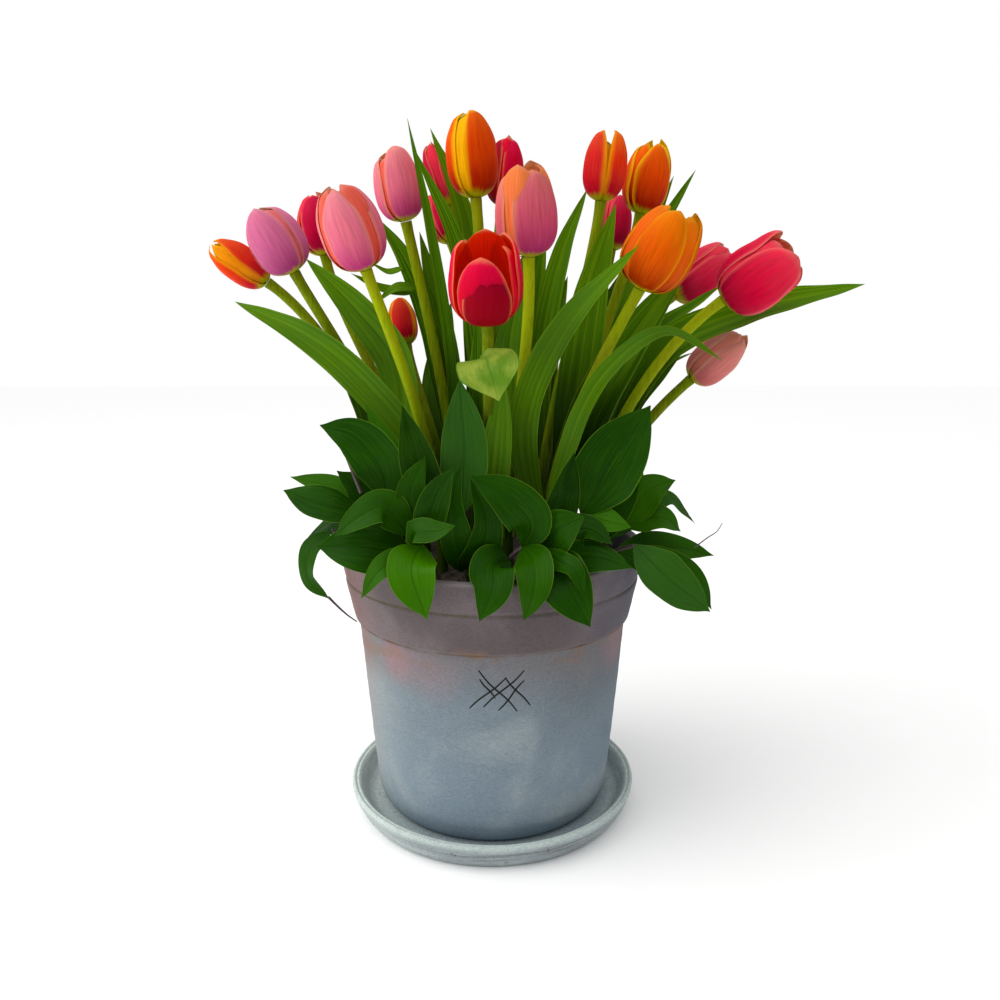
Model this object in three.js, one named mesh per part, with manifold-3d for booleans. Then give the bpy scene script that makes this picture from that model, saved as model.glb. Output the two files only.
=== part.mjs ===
// Potted tulip: a clay pot on its saucer, filled with soil, that holds nineteen tulips and a
// collar of broad-leaved sprigs. Millimetres, +Z up, the origin under the middle of the saucer,
// -Y is the front.
import * as THREE from "three";
import { mergeVertices } from "three/addons/utils/BufferGeometryUtils.js";
import Module from "manifold-3d";

const wasm = await Module();
wasm.setup();

// ---------------------------------------------------------------- driving dimensions
const GAP = 0.3; // between bodies that rest on each other
const ROUND_STEPS = 32; // sides of the pot and the saucer

const SAUCER_R = 127;
const SAUCER_H = 24.6;
const SAUCER_FLOOR = 9;
const SAUCER_FOOT_R = 114;

const POT_H = 240; // height of the rim over the ground
const POT_RIM_R = 130;
const POT_WALL = 9.5;
const POT_FLOOR = 10;
const POT_FOOT_R = 93;
const COLLAR_Z = 180; // lower edge of the collar
const COLLAR_R = 119;
const BODY_R = 115.5; // body just under the collar
const GROOVE_Z = 215; // groove round the collar

const SOIL_TOP = 222;
const STEM_FOOT_Z = 165; // how deep the stems stand in the soil
const TWIG_FOOT_Z = 188;
const STEM_R = 4.7;
const TWIG_R = 1.9;

const PETAL_THICK = 1.5;
const LEAF_THICK = 1.6;
const LAYER_GAP = 2.8; // the inner petals lie this much inside the outer ones
const FUSE_TOLERANCE = 0.12; // edges shorter than this close up where blades join

// Leaf shapes: at each share of the length the half width as a share of the widest, and how far
// the edges fold up over the midrib.
const LONG_LEAF = { at: [0, 0.18, 0.42, 0.66, 0.86], width: [0.3, 0.7, 1, 0.92, 0.52], fold: 0.32 };
const BROAD_LEAF = { at: [0, 0.14, 0.36, 0.62, 0.85], width: [0.09, 0.6, 1, 0.88, 0.46], fold: 0.14 };
const SPEAR_LEAF = { at: [0, 0.14, 0.36, 0.62, 0.85], width: [0.3, 0.9, 1, 0.72, 0.36], fold: 0.2 };
const BACK_LEAF = { at: [0, 0.18, 0.5, 0.82], width: [0.09, 0.7, 1, 0.54], fold: 0.14 };
const HEART_LEAF = { at: [0, 0.42, 0.54, 0.7, 0.87], width: [0.1, 0.12, 0.9, 1, 0.5], fold: 0.1 };

// ---------------------------------------------------------------- plant table
// Each tulip: root [x, y] in the soil, base and tip of its head, r the head's widest radius,
// mouth the radius at the petal tips as a share of r, spin the bearing in degrees of the first
// outer petal round the head, and its leaves. Where a head's petals differ, tall and wide are
// factors on their heights and widths and turn the degrees by which they stand off their places.
// A leaf leaves the stem at height `from`, runs through its points to its tip, is
// `w` wide at half width, and turns its upper face towards `face`.
const TULIPS = [
  { root: [-80, 13], base: [-190, 30, 457], tip: [-232, 20, 488], r: 15.5, mouth: 0.25, spin: -32,
    color: "flame",
    leaves: [{ from: 262, pts: [[-102, 8, 356], [-133, 14, 411]], w: 16, face: [-0.3, -0.9, 0.3] }] },
  { root: [-66, -8], base: [-158, -10, 464], tip: [-182, -20, 512], r: 22, mouth: 0.3, spin: -100,
    color: "mauve",
    leaves: [{ from: 290, pts: [[-78, -8, 391], [-108, -14, 435], [-146, -20, 474]], w: 16,
      face: [-0.3, -0.9, 0.3] }] },
  { root: [-60, 30], base: [-145, 55, 480], tip: [-155, 60, 532], r: 18, mouth: 0.3, spin: -80,
    color: "crimson",
    leaves: [{ from: 290, pts: [[-118, 66, 380], [-166, 92, 412]], w: 15, face: [-0.2, 0.5, 0.9] }] },
  { root: [-41, -30], base: [-92, -70, 464], tip: [-110, -85, 521], r: 23, mouth: 0.32, spin: -94,
    color: "pink", wide: [0.76, 1, 1.08, 1, 1.05, 1],
    leaves: [{ from: 250, pts: [[-60, -32, 320], [-110, -32, 384], [-153, -16, 415], [-214, 14, 441]],
      w: 13, face: [-0.3, -0.8, 0.5] }] },
  { root: [-29, 2], base: [-69, 2, 504], tip: [-80, -3, 558], r: 19, mouth: 0.52, spin: -62, color: "pink",
    tall: [1, 0.95, 0.97, 0.98, 0.9, 0.97],
    leaves: [{ from: 300, pts: [[-34, -12, 400], [-48, -23, 500], [-63, -30, 576]], w: 4.5,
      face: [0, -1, 0.1] },
    { from: 320, pts: [[-50, 12, 420], [-72, 18, 476], [-96, 24, 510]], w: 10,
      face: [-0.1, -1, 0.3] },
    { from: 290, pts: [[-36, 10, 390], [-48, 12, 450], [-59, 12, 497]], w: 9.5,
      face: [0, -1, 0.1] }] },
  { root: [-15, 28], base: [-36, 52, 520], tip: [-53, 60, 574], r: 12.5, mouth: 0.35, spin: -40,
    color: "crimson",
    leaves: [{ from: 300, pts: [[-15, 28, 430], [-22, 26, 508], [-50, 28, 579]], w: 10,
      face: [0, -1, 0.1] }] },
  { root: [-18, 52], base: [-38, 104, 494], tip: [-54, 116, 538], r: 15, mouth: 0.3, spin: -70,
    color: "crimson",
    leaves: [{ from: 260, pts: [[-50, 92, 345], [-40, 124, 440]], w: 16, face: [-0.2, 1, 0.3] },
      { from: 250, pts: [[0, 96, 350], [2, 134, 416]], w: 15, face: [0.2, 0.8, 0.6] }] },
  { root: [-5, -6], base: [-12, -15, 520], tip: [-18, -15, 583], r: 20, mouth: 0.22, spin: -52,
    wide: [1.05, 1, 1, 1, 0.8, 1],
    color: "sunset",
    leaves: [{ from: 300, pts: [[-12, -28, 400], [-25, -40, 480], [-57, -46, 552]], w: 7.5,
      face: [0.1, -1, 0.2] },
    { from: 280, pts: [[10, 2, 380], [26, -2, 480]], w: 14, face: [0.1, -1, 0.1] }] },
  { root: [4, 30], base: [8, 60, 522], tip: [14, 68, 580], r: 16, mouth: 0.25, spin: -40, color: "red",
    leaves: [{ from: 290, pts: [[24, 54, 400], [46, 62, 504]], w: 14, face: [0.1, -1, 0.1] }] },
  { root: [13, -30], base: [28, -65, 473], tip: [24, -70, 539], r: 23, mouth: 0.5, spin: -60,
    color: "salmon", tall: [0.92, 0.97, 1.05, 1, 0.89, 0.98], wide: [1.1, 1, 1, 1, 0.76, 1],
    leaves: [{ from: 250, pts: [[12, -36, 350], [16, -40, 420], [32, -40, 472]], w: 13,
      face: [0.1, -1, 0.2] }] },
  { root: [-3, -50], base: [-2, -108, 426], tip: [-4, -126, 487], r: 26, mouth: 0.62, spin: -90,
    color: "red", tall: [0.63, 0.9, 1, 0.99, 0.9, 0.84],
    turn: [0, 28, 0, 0, 8, 54], wide: [0.75, 0.68, 1, 1, 0.88, 0.85],
    leaves: [{ from: 376, pts: [[-4, -112, 403], [-1, -124, 396], [6, -130, 374]], w: 22,
      shape: HEART_LEAF, face: [-0.1, -0.9, 0.4] },
    { from: 300, pts: [[-9, -74, 370], [-10, -80, 432]], w: 7, face: [-0.1, -1, 0.2] },
    { from: 252, pts: [[2, -78, 314], [6, -82, 352], [10, -90, 386]], w: 12,
      face: [0.1, -1, 0.1] }] },
  { root: [38, -3], base: [87, -2, 519], tip: [93, -2, 575], r: 17, mouth: 0.34, spin: -30, color: "flame",
    tall: [1, 0.86, 0.8, 0.86, 0.99, 0.78], wide: [1.1, 1, 1, 1, 1.1, 1],
    leaves: [{ from: 280, pts: [[42, 10, 400], [58, 14, 480], [78, 18, 531]], w: 11,
      face: [-0.3, -1, 0.1] },
    { from: 250, pts: [[38, 18, 330], [48, 26, 400], [64, 30, 462]], w: 12,
      face: [-0.1, -1, 0.1] }] },
  { root: [44, 38], base: [106, 82, 486], tip: [112, 92, 534], r: 16, mouth: 0.3, spin: -60,
    color: "hotpink",
    leaves: [{ from: 290, pts: [[84, 72, 400], [134, 76, 480], [176, 68, 552]], w: 9,
      face: [-0.3, -0.9, 0.3] },
    { from: 270, pts: [[82, 96, 370], [120, 128, 420]], w: 15, face: [0.2, 0.6, 0.8] }] },
  { root: [56, 14], base: [123, 26, 512], tip: [134, 28, 571], r: 19, mouth: 0.42, spin: -74,
    color: "sunset", tall: [0.93, 0.97, 1.03, 0.95, 0.9, 1.02], wide: [1.06, 1, 1, 1, 0.9, 1],
    leaves: [{ from: 270, pts: [[68, -22, 362], [80, -28, 452], [96, -28, 514]], w: 16,
      face: [-0.2, -1, 0.2] },
    { from: 330, pts: [[122, 40, 470], [154, 50, 545]], w: 8, face: [-0.2, -1, 0.2] }] },
  { root: [42, -32], base: [110, -70, 450], tip: [138, -80, 507], r: 26, mouth: 0.5, spin: -104,
    color: "orange", tall: [1, 1, 0.98, 0.97, 0.97, 0.98], wide: [0.8, 1, 1, 1, 1, 1],
    leaves: [{ from: 246, pts: [[26, -68, 350], [52, -90, 420], [104, -102, 480]], w: 12.5,
      face: [-0.3, -0.9, 0.4] },
    { from: 240, pts: [[54, -64, 310], [82, -80, 384], [128, -78, 419], [175, -66, 398]], w: 8.5,
      face: [-0.2, -0.7, 0.7] },
    { from: 262, pts: [[90, -42, 377], [122, -42, 429], [150, -38, 466]], w: 17,
      face: [-0.3, -0.9, 0.3] }] },
  { root: [66, 34], base: [159, 56, 446], tip: [208, 66, 483], r: 20, mouth: 0.45, spin: -60,
    color: "hotpink",
    leaves: [{ from: 280, pts: [[120, 36, 392], [192, 24, 454]], w: 13, face: [-0.2, -0.6, 0.8] },
      { from: 270, pts: [[124, 76, 362], [186, 98, 394]], w: 15, face: [0.2, 0.5, 0.9] }] },
  { root: [76, -12], base: [183, -25, 442], tip: [231, -45, 478], r: 26, mouth: 0.75, spin: -90,
    color: "rose",
    leaves: [{ from: 318, pts: [[140, -2, 400], [206, 2, 432], [304, 0, 455]], w: 14.5,
      face: [-0.1, -0.85, 0.5] }] },
  { root: [82, 10], base: [170, 20, 376], tip: [211, 10, 414], r: 17.5, mouth: 0.3, spin: -70, color: "pink",
    leaves: [{ from: 262, pts: [[120, 32, 352], [148, 42, 380], [166, 46, 396]], w: 11,
      face: [-0.1, -1, 0.4] }] },
  { root: [-38, 50], base: [-80, 96, 402], tip: [-88, 110, 444], r: 13, mouth: 0.3, spin: -90,
    color: "flame",
    leaves: [{ from: 250, pts: [[-86, 74, 316], [-130, 98, 372]], w: 15, face: [-0.3, 0.6, 0.8] }] },
];

// Each sprig: its twig stands at root [x, y] and runs through `twig`; `at` is the twig point
// that a leaf leaves from, counted from 0.
const SPRIGS = [
  { root: [-58, -58], twig: [[-64, -66, 262], [-78, -75, 290]],
    leaves: [{ at: 1, pts: [[-86, -80, 322], [-105, -76, 341], [-131, -70, 349]], w: 19,
        face: [-0.2, -0.9, 0.3] },
      { at: 0, pts: [[-81, -56, 327], [-99, -46, 362]], w: 12, face: [-0.1, -1, 0.2] }] },
  { root: [-80, -42], twig: [[-90, -52, 256], [-102, -62, 278]],
    leaves: [{ at: 1, pts: [[-127, -70, 286], [-164, -60, 296]], w: 15, face: [-0.1, -0.8, 0.7] },
      { at: 0, pts: [[-126, -40, 292], [-165, -30, 301]], w: 12, face: [-0.1, -0.7, 0.7] },
      { at: 0, pts: [[-104, -44, 291], [-125, -40, 308]], w: 14, face: [0, -0.9, 0.4] }] },
  { root: [-60, -74], twig: [[-62, -84, 250], [-62, -92, 268]],
    leaves: [{ at: 1, pts: [[-80, -106, 293], [-99, -110, 285], [-116, -108, 271]], w: 14,
        face: [-0.1, -0.8, 0.6] },
      { at: 0, pts: [[-95, -102, 261], [-132, -96, 260]], w: 20, face: [-0.3, -0.9, 0.4] },
      { at: 1, pts: [[-59, -98, 306], [-48, -100, 330]], w: 11.5, face: [0.1, -1, 0.1] },
      { at: 1, pts: [[-50, -90, 292], [-57, -90, 333], [-66, -86, 366]], w: 15,
        face: [0, -1, 0.1] }] },
  { root: [-94, -34], twig: [[-110, -46, 256], [-128, -56, 262]],
    leaves: [{ at: 1, pts: [[-144, -62, 248], [-146, -66, 226], [-129, -70, 209]], w: 10,
        face: [-0.6, -0.7, 0.2] },
      { at: 0, pts: [[-130, -22, 262], [-156, -14, 246]], w: 15, face: [-0.6, -0.2, 0.8] },
      { at: 0, pts: [[-124, -14, 276], [-144, 4, 286]], w: 14, face: [-0.7, 0.1, 0.7] }] },
  { root: [-40, -84], twig: [[-46, -96, 250], [-52, -104, 264]],
    leaves: [{ at: 1, pts: [[-57, -132, 252], [-46, -140, 218]], w: 18, face: [0, -0.9, 0.3] },
      { at: 0, pts: [[-78, -124, 252], [-94, -132, 231]], w: 11, face: [-0.4, -0.8, 0.3] },
      { at: 1, pts: [[-38, -112, 306], [-26, -118, 325]], w: 12, face: [0.1, -1, 0.2] },
      { at: 1, pts: [[-55, -116, 277], [-41, -124, 279], [-25, -130, 285]], w: 10,
        face: [0.1, -0.8, 0.6] }] },
  { root: [-18, -82], twig: [[-20, -88, 238], [-22, -88, 284]],
    leaves: [{ at: 1, pts: [[-20, -86, 340], [-23, -86, 386]], w: 18, face: [0, -1, 0.1] },
      { at: 0, pts: [[-26, -104, 275], [-28, -104, 298], [-22, -102, 323]], w: 12.5,
        shape: SPEAR_LEAF, face: [-0.2, -1, 0] },
      { at: 0, pts: [[-6, -104, 263], [-3, -106, 283], [-15, -104, 314]], w: 13.5,
        shape: SPEAR_LEAF, face: [0.3, -1, 0] }] },
  { root: [12, -86], twig: [[14, -96, 250], [24, -104, 262]],
    leaves: [{ at: 1, pts: [[29, -114, 282], [14, -120, 302], [-15, -120, 320]], w: 17,
        face: [0, -0.9, 0.4] },
      { at: 0, pts: [[2, -122, 252], [1, -138, 239], [-8, -142, 217]], w: 17,
        face: [-0.1, -0.9, 0.3] },
      { at: 1, pts: [[31, -130, 256], [31, -142, 241], [24, -143, 218]], w: 14,
        face: [0, -0.9, 0.3] }] },
  { root: [42, -78], twig: [[40, -92, 248], [38, -102, 260]],
    leaves: [{ at: 1, pts: [[51, -114, 278], [68, -120, 289]], w: 16.5, face: [0, -0.9, 0.4] },
      { at: 0, pts: [[71, -96, 274], [90, -112, 266]], w: 13, face: [0.1, -0.8, 0.6] },
      { at: 1, pts: [[55, -134, 240], [72, -140, 212]], w: 20, face: [0.1, -0.9, 0.2] },
      { at: 0, pts: [[81, -112, 255], [104, -120, 250]], w: 14, face: [0.2, -0.8, 0.5] },
      { at: 1, pts: [[48, -124, 258], [60, -136, 254], [67, -140, 234]], w: 8,
        face: [0.1, -0.9, 0.4] },
      { at: 0, pts: [[55, -98, 299], [62, -94, 332]], w: 13, face: [0.1, -1, 0.2] }] },
  { root: [66, -60], twig: [[68, -74, 254], [70, -84, 282]],
    leaves: [{ at: 1, pts: [[91, -86, 323], [120, -78, 365]], w: 25, face: [-0.2, -1, 0.1] },
      { at: 0, pts: [[98, -72, 289], [116, -66, 313]], w: 15, face: [0, -0.9, 0.4] },
      { at: 1, pts: [[90, -96, 279], [105, -100, 276]], w: 10, face: [0.1, -0.8, 0.6] }] },
  { root: [82, -36], twig: [[92, -48, 252], [104, -60, 268]],
    leaves: [{ at: 1, pts: [[125, -58, 296], [146, -54, 303]], w: 15, face: [0.1, -0.8, 0.6] },
      { at: 0, pts: [[146, -24, 282], [161, -18, 269], [170, -14, 259]], w: 9,
        face: [0.3, -0.6, 0.8] },
      { at: 1, pts: [[135, -64, 275], [151, -58, 262]], w: 13, face: [0.2, -0.7, 0.7] },
      { at: 0, pts: [[120, -12, 280], [142, -2, 292]], w: 13, face: [0.5, -0.3, 0.8] }] },
  { root: [86, -54], twig: [[98, -70, 249], [110, -86, 258]],
    leaves: [{ at: 1, pts: [[130, -98, 240], [170, -90, 206]], w: 18, face: [0, -0.9, 0.5] },
      { at: 0, pts: [[159, -68, 226], [178, -62, 198]], w: 14, face: [0.3, -0.8, 0.4] },
      { at: 0, pts: [[152, -46, 245], [182, -44, 238]], w: 14, face: [0.2, -0.8, 0.6] }] },
];

// Sprigs of the back, which repeat round the rim.
const BACK_SPRIG_ANGLES = [20, 55, 90, 125, 160]; // degrees from +X towards +Y

function backSprig(degrees, index) {
  const turn = (degrees * Math.PI) / 180;
  const lift = index % 2 === 0 ? 14 : 0;
  const at = (radius, side, z) => [
    radius * Math.cos(turn) - side * Math.sin(turn),
    radius * Math.sin(turn) + side * Math.cos(turn),
    z,
  ];
  const out = at(1, 0, 0);
  const face = (up) => [out[0] * 0.6, out[1] * 0.6, up];
  const leaves = [
    { at: 1, pts: [at(120, 10, 302 + lift), at(136, 20, 322 + lift)], w: 18, face: face(0.5) },
    { at: 1, pts: [at(136, -6, 274), at(160, -8, 240)], w: 19, face: face(0.8) },
    { at: 0, pts: [at(124, 26, 262), at(146, 34, 246)], w: 14, face: face(0.8) },
    { at: 0, pts: [at(114, -26, 270), at(128, -32, 296)], w: 14, face: face(0.6) },
  ];
  return {
    root: at(88, 0, 0).slice(0, 2),
    twig: [at(97, 0, 252), at(106, 0, 272)],
    leaves: leaves.map((blade) => ({ ...blade, shape: BACK_LEAF })),
  };
}

BACK_SPRIG_ANGLES.forEach((degrees, index) => SPRIGS.push(backSprig(degrees, index)));

// ---------------------------------------------------------------- colours
const COLORS = {
  clay: 0xb9b3a8, saucer: 0xc9c8bd, soil: 0x2e251d, stem: 0x8fa858, leaf: 0x4d7a2d,
  flame: 0xe0561f, mauve: 0xc45a93, crimson: 0xb3133a, pink: 0xe0698c, sunset: 0xee8a2a,
  red: 0xc92323, salmon: 0xe77f76, hotpink: 0xdb3a78, orange: 0xf07f1e, rose: 0xc92a56,
};

function material(name, roughness) {
  return new THREE.MeshStandardMaterial({ color: COLORS[name], roughness, metalness: 0 });
}

// ---------------------------------------------------------------- solids
const vec = (p) => new THREE.Vector3(p[0], p[1], p[2]);

function toSolid(geometry) {
  geometry.deleteAttribute("normal");
  geometry.deleteAttribute("uv");
  const merged = mergeVertices(geometry, 1e-4);
  return new wasm.Manifold(
    new wasm.Mesh({
      numProp: 3,
      vertProperties: new Float32Array(merged.attributes.position.array),
      triVerts: new Uint32Array(merged.index.array),
    }),
  );
}

function toGeometry(solid) {
  const mesh = solid.getMesh();
  const geometry = new THREE.BufferGeometry();
  geometry.setAttribute("position", new THREE.BufferAttribute(mesh.vertProperties, 3));
  geometry.setIndex(new THREE.BufferAttribute(mesh.triVerts, 1));
  return geometry;
}

// A closed body from points and triangles; the faces are turned out if they point in.
function closedBody(points, triangles) {
  let volume = 0;
  for (const [a, b, c] of triangles) {
    volume += points[a].dot(new THREE.Vector3().crossVectors(points[b], points[c]));
  }
  const facing = volume < 0 ? triangles.map(([a, b, c]) => [a, c, b]) : triangles;
  const geometry = new THREE.BufferGeometry().setFromPoints(points);
  geometry.setIndex(facing.flat());
  return toSolid(geometry);
}

function fuse(solids) {
  return solids.reduce((whole, solid) => whole.add(solid)).simplify(FUSE_TOLERANCE);
}

function lathe(profile) {
  const points = profile.map(([r, z]) => new THREE.Vector2(r, z));
  const geometry = new THREE.LatheGeometry(points, ROUND_STEPS);
  geometry.rotateX(Math.PI / 2);
  return toSolid(geometry);
}

// A tube through the given points, with flat ends square to the path or to the given end.
function tube(path, radii, sides, end) {
  const points = [];
  const triangles = [];
  let side = new THREE.Vector3(1, 0, 0);
  path.forEach((centre, i) => {
    const ahead = path[Math.min(i + 1, path.length - 1)];
    const behind = path[Math.max(i - 1, 0)];
    const along = i === path.length - 1 && end ? end : ahead.clone().sub(behind).normalize();
    side = side.clone().addScaledVector(along, -side.dot(along)).normalize();
    const other = new THREE.Vector3().crossVectors(along, side);
    for (let k = 0; k < sides; k += 1) {
      const turn = (2 * Math.PI * k) / sides;
      points.push(
        centre.clone()
          .addScaledVector(side, radii[i] * Math.cos(turn))
          .addScaledVector(other, radii[i] * Math.sin(turn)),
      );
    }
  });
  for (let i = 0; i < path.length - 1; i += 1) {
    for (let k = 0; k < sides; k += 1) {
      const a = i * sides + k;
      const b = i * sides + ((k + 1) % sides);
      triangles.push([a, b, b + sides], [a, b + sides, a + sides]);
    }
  }
  const last = (path.length - 1) * sides;
  for (let k = 1; k < sides - 1; k += 1) {
    triangles.push([0, k + 1, k], [last, last + k, last + k + 1]);
  }
  return closedBody(points, triangles);
}

// A thin blade of lens section. Each station has its two edges and the middle of each face; the
// quads are split from the edge to the middle, alike on both faces.
function lensBlade(stations, tip) {
  const points = stations.flatMap((s) => [s.left, s.top, s.right, s.under]);
  points.push(tip);
  const triangles = [[0, 1, 2], [0, 2, 3]];
  for (let i = 0; i < stations.length - 1; i += 1) {
    const [l, t, r, u] = [0, 1, 2, 3].map((k) => 4 * i + k);
    triangles.push([l, t + 4, t], [l, l + 4, t + 4], [t, t + 4, r], [r, t + 4, r + 4]);
    triangles.push([r, u + 4, u], [r, r + 4, u + 4], [u, u + 4, l], [l, u + 4, l + 4]);
  }
  const [l, t, r, u] = [0, 1, 2, 3].map((k) => 4 * (stations.length - 1) + k);
  const end = points.length - 1;
  triangles.push([l, end, t], [t, end, r], [r, end, u], [u, end, l]);
  return closedBody(points, triangles);
}

// ---------------------------------------------------------------- leaves

function leaf(start, spec, shape) {
  const curve = new THREE.CatmullRomCurve3([start, ...spec.pts.map(vec)], false, "centripetal");
  const stations = shape.at.map((share, i) => {
    const centre = curve.getPointAt(share);
    const along = curve.getTangentAt(share);
    const up = vec(spec.face).addScaledVector(along, -vec(spec.face).dot(along)).normalize();
    const side = new THREE.Vector3().crossVectors(along, up);
    const half = Math.max(spec.w * shape.width[i], TWIG_R * 0.7);
    const edge = centre.clone().addScaledVector(up, half * shape.fold);
    return {
      left: edge.clone().addScaledVector(side, -half),
      right: edge.clone().addScaledVector(side, half),
      top: centre.clone().addScaledVector(up, LEAF_THICK / 2),
      under: centre.clone().addScaledVector(up, -LEAF_THICK / 2),
    };
  });
  return lensBlade(stations, curve.getPointAt(1));
}

// ---------------------------------------------------------------- tulip heads and stems
function headAxis(tulip) {
  return vec(tulip.tip).sub(vec(tulip.base)).normalize();
}

// The stem rises straight out of the soil, leans over and ends square under the head.
function stemCurve(tulip) {
  const base = vec(tulip.base);
  const root = new THREE.Vector3(tulip.root[0], tulip.root[1], SOIL_TOP + 6);
  const rise = (base.z - root.z) * 0.4;
  const low = root.clone().add(new THREE.Vector3(0, 0, rise));
  const high = base.clone().addScaledVector(headAxis(tulip), -rise * 0.7);
  return new THREE.CubicBezierCurve3(root, low, high, base);
}

function stemPointAt(curve, z) {
  for (let share = 0; share < 1; share += 0.01) {
    const point = curve.getPoint(share);
    if (point.z >= z) return point;
  }
  return curve.getPoint(1);
}

function plant(tulip) {
  const curve = stemCurve(tulip);
  const foot = new THREE.Vector3(tulip.root[0], tulip.root[1], STEM_FOOT_Z);
  const path = [foot, ...[0, 0.2, 0.4, 0.6, 0.8, 1].map((share) => curve.getPoint(share))];
  const radii = path.map((_, i) => STEM_R * (i > 4 ? 0.92 : 1));
  const solids = [tube(path, radii, 6, headAxis(tulip))];
  for (const spec of tulip.leaves) {
    solids.push(leaf(stemPointAt(curve, spec.from), spec, spec.shape ?? LONG_LEAF));
  }
  return fuse(solids);
}

// A petal as stations [share of the height, radius, half angle]; it stands round the head's own
// axis, +Z, at the given azimuth.
function petal(azimuth, stations, tip) {
  const polar = (r, turn, z) => new THREE.Vector3(r * Math.cos(turn), r * Math.sin(turn), z);
  const rows = stations.map(({ z, r, half }) => ({
    left: polar(r, azimuth - half, z),
    top: polar(r - PETAL_THICK / 2, azimuth, z),
    right: polar(r, azimuth + half, z),
    under: polar(r + PETAL_THICK / 2, azimuth, z),
  }));
  return lensBlade(rows, polar(tip.r, azimuth, tip.z));
}

function petalShape(radius, height, mouth, footZ, wide) {
  const shoulder = radius * (0.68 + 0.32 * mouth);
  return {
    stations: [
      { z: footZ, r: 3.2, half: 0.5 },
      { z: footZ + height * 0.14, r: radius * 0.78, half: 0.82 * wide },
      { z: height * 0.47, r: radius, half: 0.94 * wide },
      { z: height * 0.84, r: shoulder, half: 0.74 * wide },
    ],
    tip: { z: height, r: radius * mouth },
  };
}

function bloom(tulip, index) {
  const height = vec(tulip.tip).distanceTo(vec(tulip.base));
  const ring = (r, z) => [r, z];
  const knobProfile = [ring(5, GAP), ring(6.2, 5)];
  const knobPath = knobProfile.map(([, z]) => new THREE.Vector3(0, 0, z));
  const solids = [tube(knobPath, knobProfile.map(([r]) => r), 6)];
  for (let k = 0; k < 6; k += 1) {
    const inner = k % 2 === 1;
    const vary = (1 + 0.04 * Math.sin(index * 2.1 + k * 1.7)) * (tulip.tall?.[k] ?? 1);
    const radius = tulip.r - (inner ? LAYER_GAP : 0);
    const tall = height * (inner ? 0.93 : 0.98) * vary;
    const shape = petalShape(radius, tall, tulip.mouth, inner ? 4.4 : 2, tulip.wide?.[k] ?? 1);
    const bearing = ((k * 60 + tulip.spin + (tulip.turn?.[k] ?? 0)) * Math.PI) / 180;
    solids.push(petal(bearing, shape.stations, shape.tip));
  }
  const geometry = toGeometry(fuse(solids));
  geometry.applyQuaternion(
    new THREE.Quaternion().setFromUnitVectors(new THREE.Vector3(0, 0, 1), headAxis(tulip)),
  );
  geometry.translate(...tulip.base);
  return geometry;
}

// ---------------------------------------------------------------- sprigs
function sprig(spec) {
  const foot = new THREE.Vector3(spec.root[0], spec.root[1], TWIG_FOOT_Z);
  const collar = new THREE.Vector3(spec.root[0], spec.root[1], SOIL_TOP + 6);
  const path = [foot, collar, ...spec.twig.map(vec)];
  const solids = [tube(path, path.map(() => TWIG_R), 5)];
  for (const blade of spec.leaves) {
    solids.push(leaf(vec(spec.twig[blade.at]), blade, blade.shape ?? BROAD_LEAF));
  }
  return fuse(solids);
}

// ---------------------------------------------------------------- pot, saucer and soil
function saucer() {
  return lathe([
    [0, 0], [SAUCER_FOOT_R, 0], [117.5, 2], [122, 8.5], [SAUCER_R - 1, 17.5], [SAUCER_R, 21.5],
    [SAUCER_R - 0.8, SAUCER_H - 0.6], [SAUCER_R - 2.4, SAUCER_H], [SAUCER_R - 4, SAUCER_H - 1.4],
    [SAUCER_R - 5.6, SAUCER_H - 0.8], [SAUCER_R - 7.6, SAUCER_H - 2.4], [112.5, 12],
    [108, SAUCER_FLOOR], [0, SAUCER_FLOOR],
  ]);
}

const POT_FOOT_Z = SAUCER_FLOOR + GAP;
const POT_FLOOR_Z = POT_FOOT_Z + POT_FLOOR;
const INNER_FLOOR_R = 90;
const INNER_BODY = [BODY_R - POT_WALL, COLLAR_Z - 4];
const INNER_RIM_R = POT_RIM_R - POT_WALL;

function pot() {
  return lathe([
    [0, POT_FOOT_Z], [POT_FOOT_R, POT_FOOT_Z], [97, 12], [101, 18], [103, 25],
    [BODY_R, COLLAR_Z - 2.5], [COLLAR_R, COLLAR_Z], [COLLAR_R + 1, COLLAR_Z + 4],
    [125.8, GROOVE_Z - 3], [125, GROOVE_Z], [126.4, GROOVE_Z + 2.5], [129.4, POT_H - 4],
    [POT_RIM_R, POT_H - 1.5], [POT_RIM_R - 1.2, POT_H], [INNER_RIM_R + 1, POT_H],
    [INNER_RIM_R - 0.5, POT_H - 3], [113, COLLAR_Z + 10], INNER_BODY, [93.5, POT_FLOOR_Z + 5],
    [INNER_FLOOR_R, POT_FLOOR_Z], [0, POT_FLOOR_Z],
  ]);
}

// The inner wall between the collar's foot and the rim, for the soil's top edge.
function innerRadius(z) {
  const share = (z - COLLAR_Z - 10) / (POT_H - 3 - COLLAR_Z - 10);
  return 113 + share * (INNER_RIM_R - 0.5 - 113);
}

function hole([x, y], footZ, radius, sides) {
  const fitRadius = radius + (GAP + 0.05) / Math.cos(Math.PI / sides);
  const path = [footZ - GAP, SOIL_TOP + 4].map((z) => new THREE.Vector3(x, y, z));
  return tube(path, path.map(() => fitRadius), sides);
}

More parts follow.
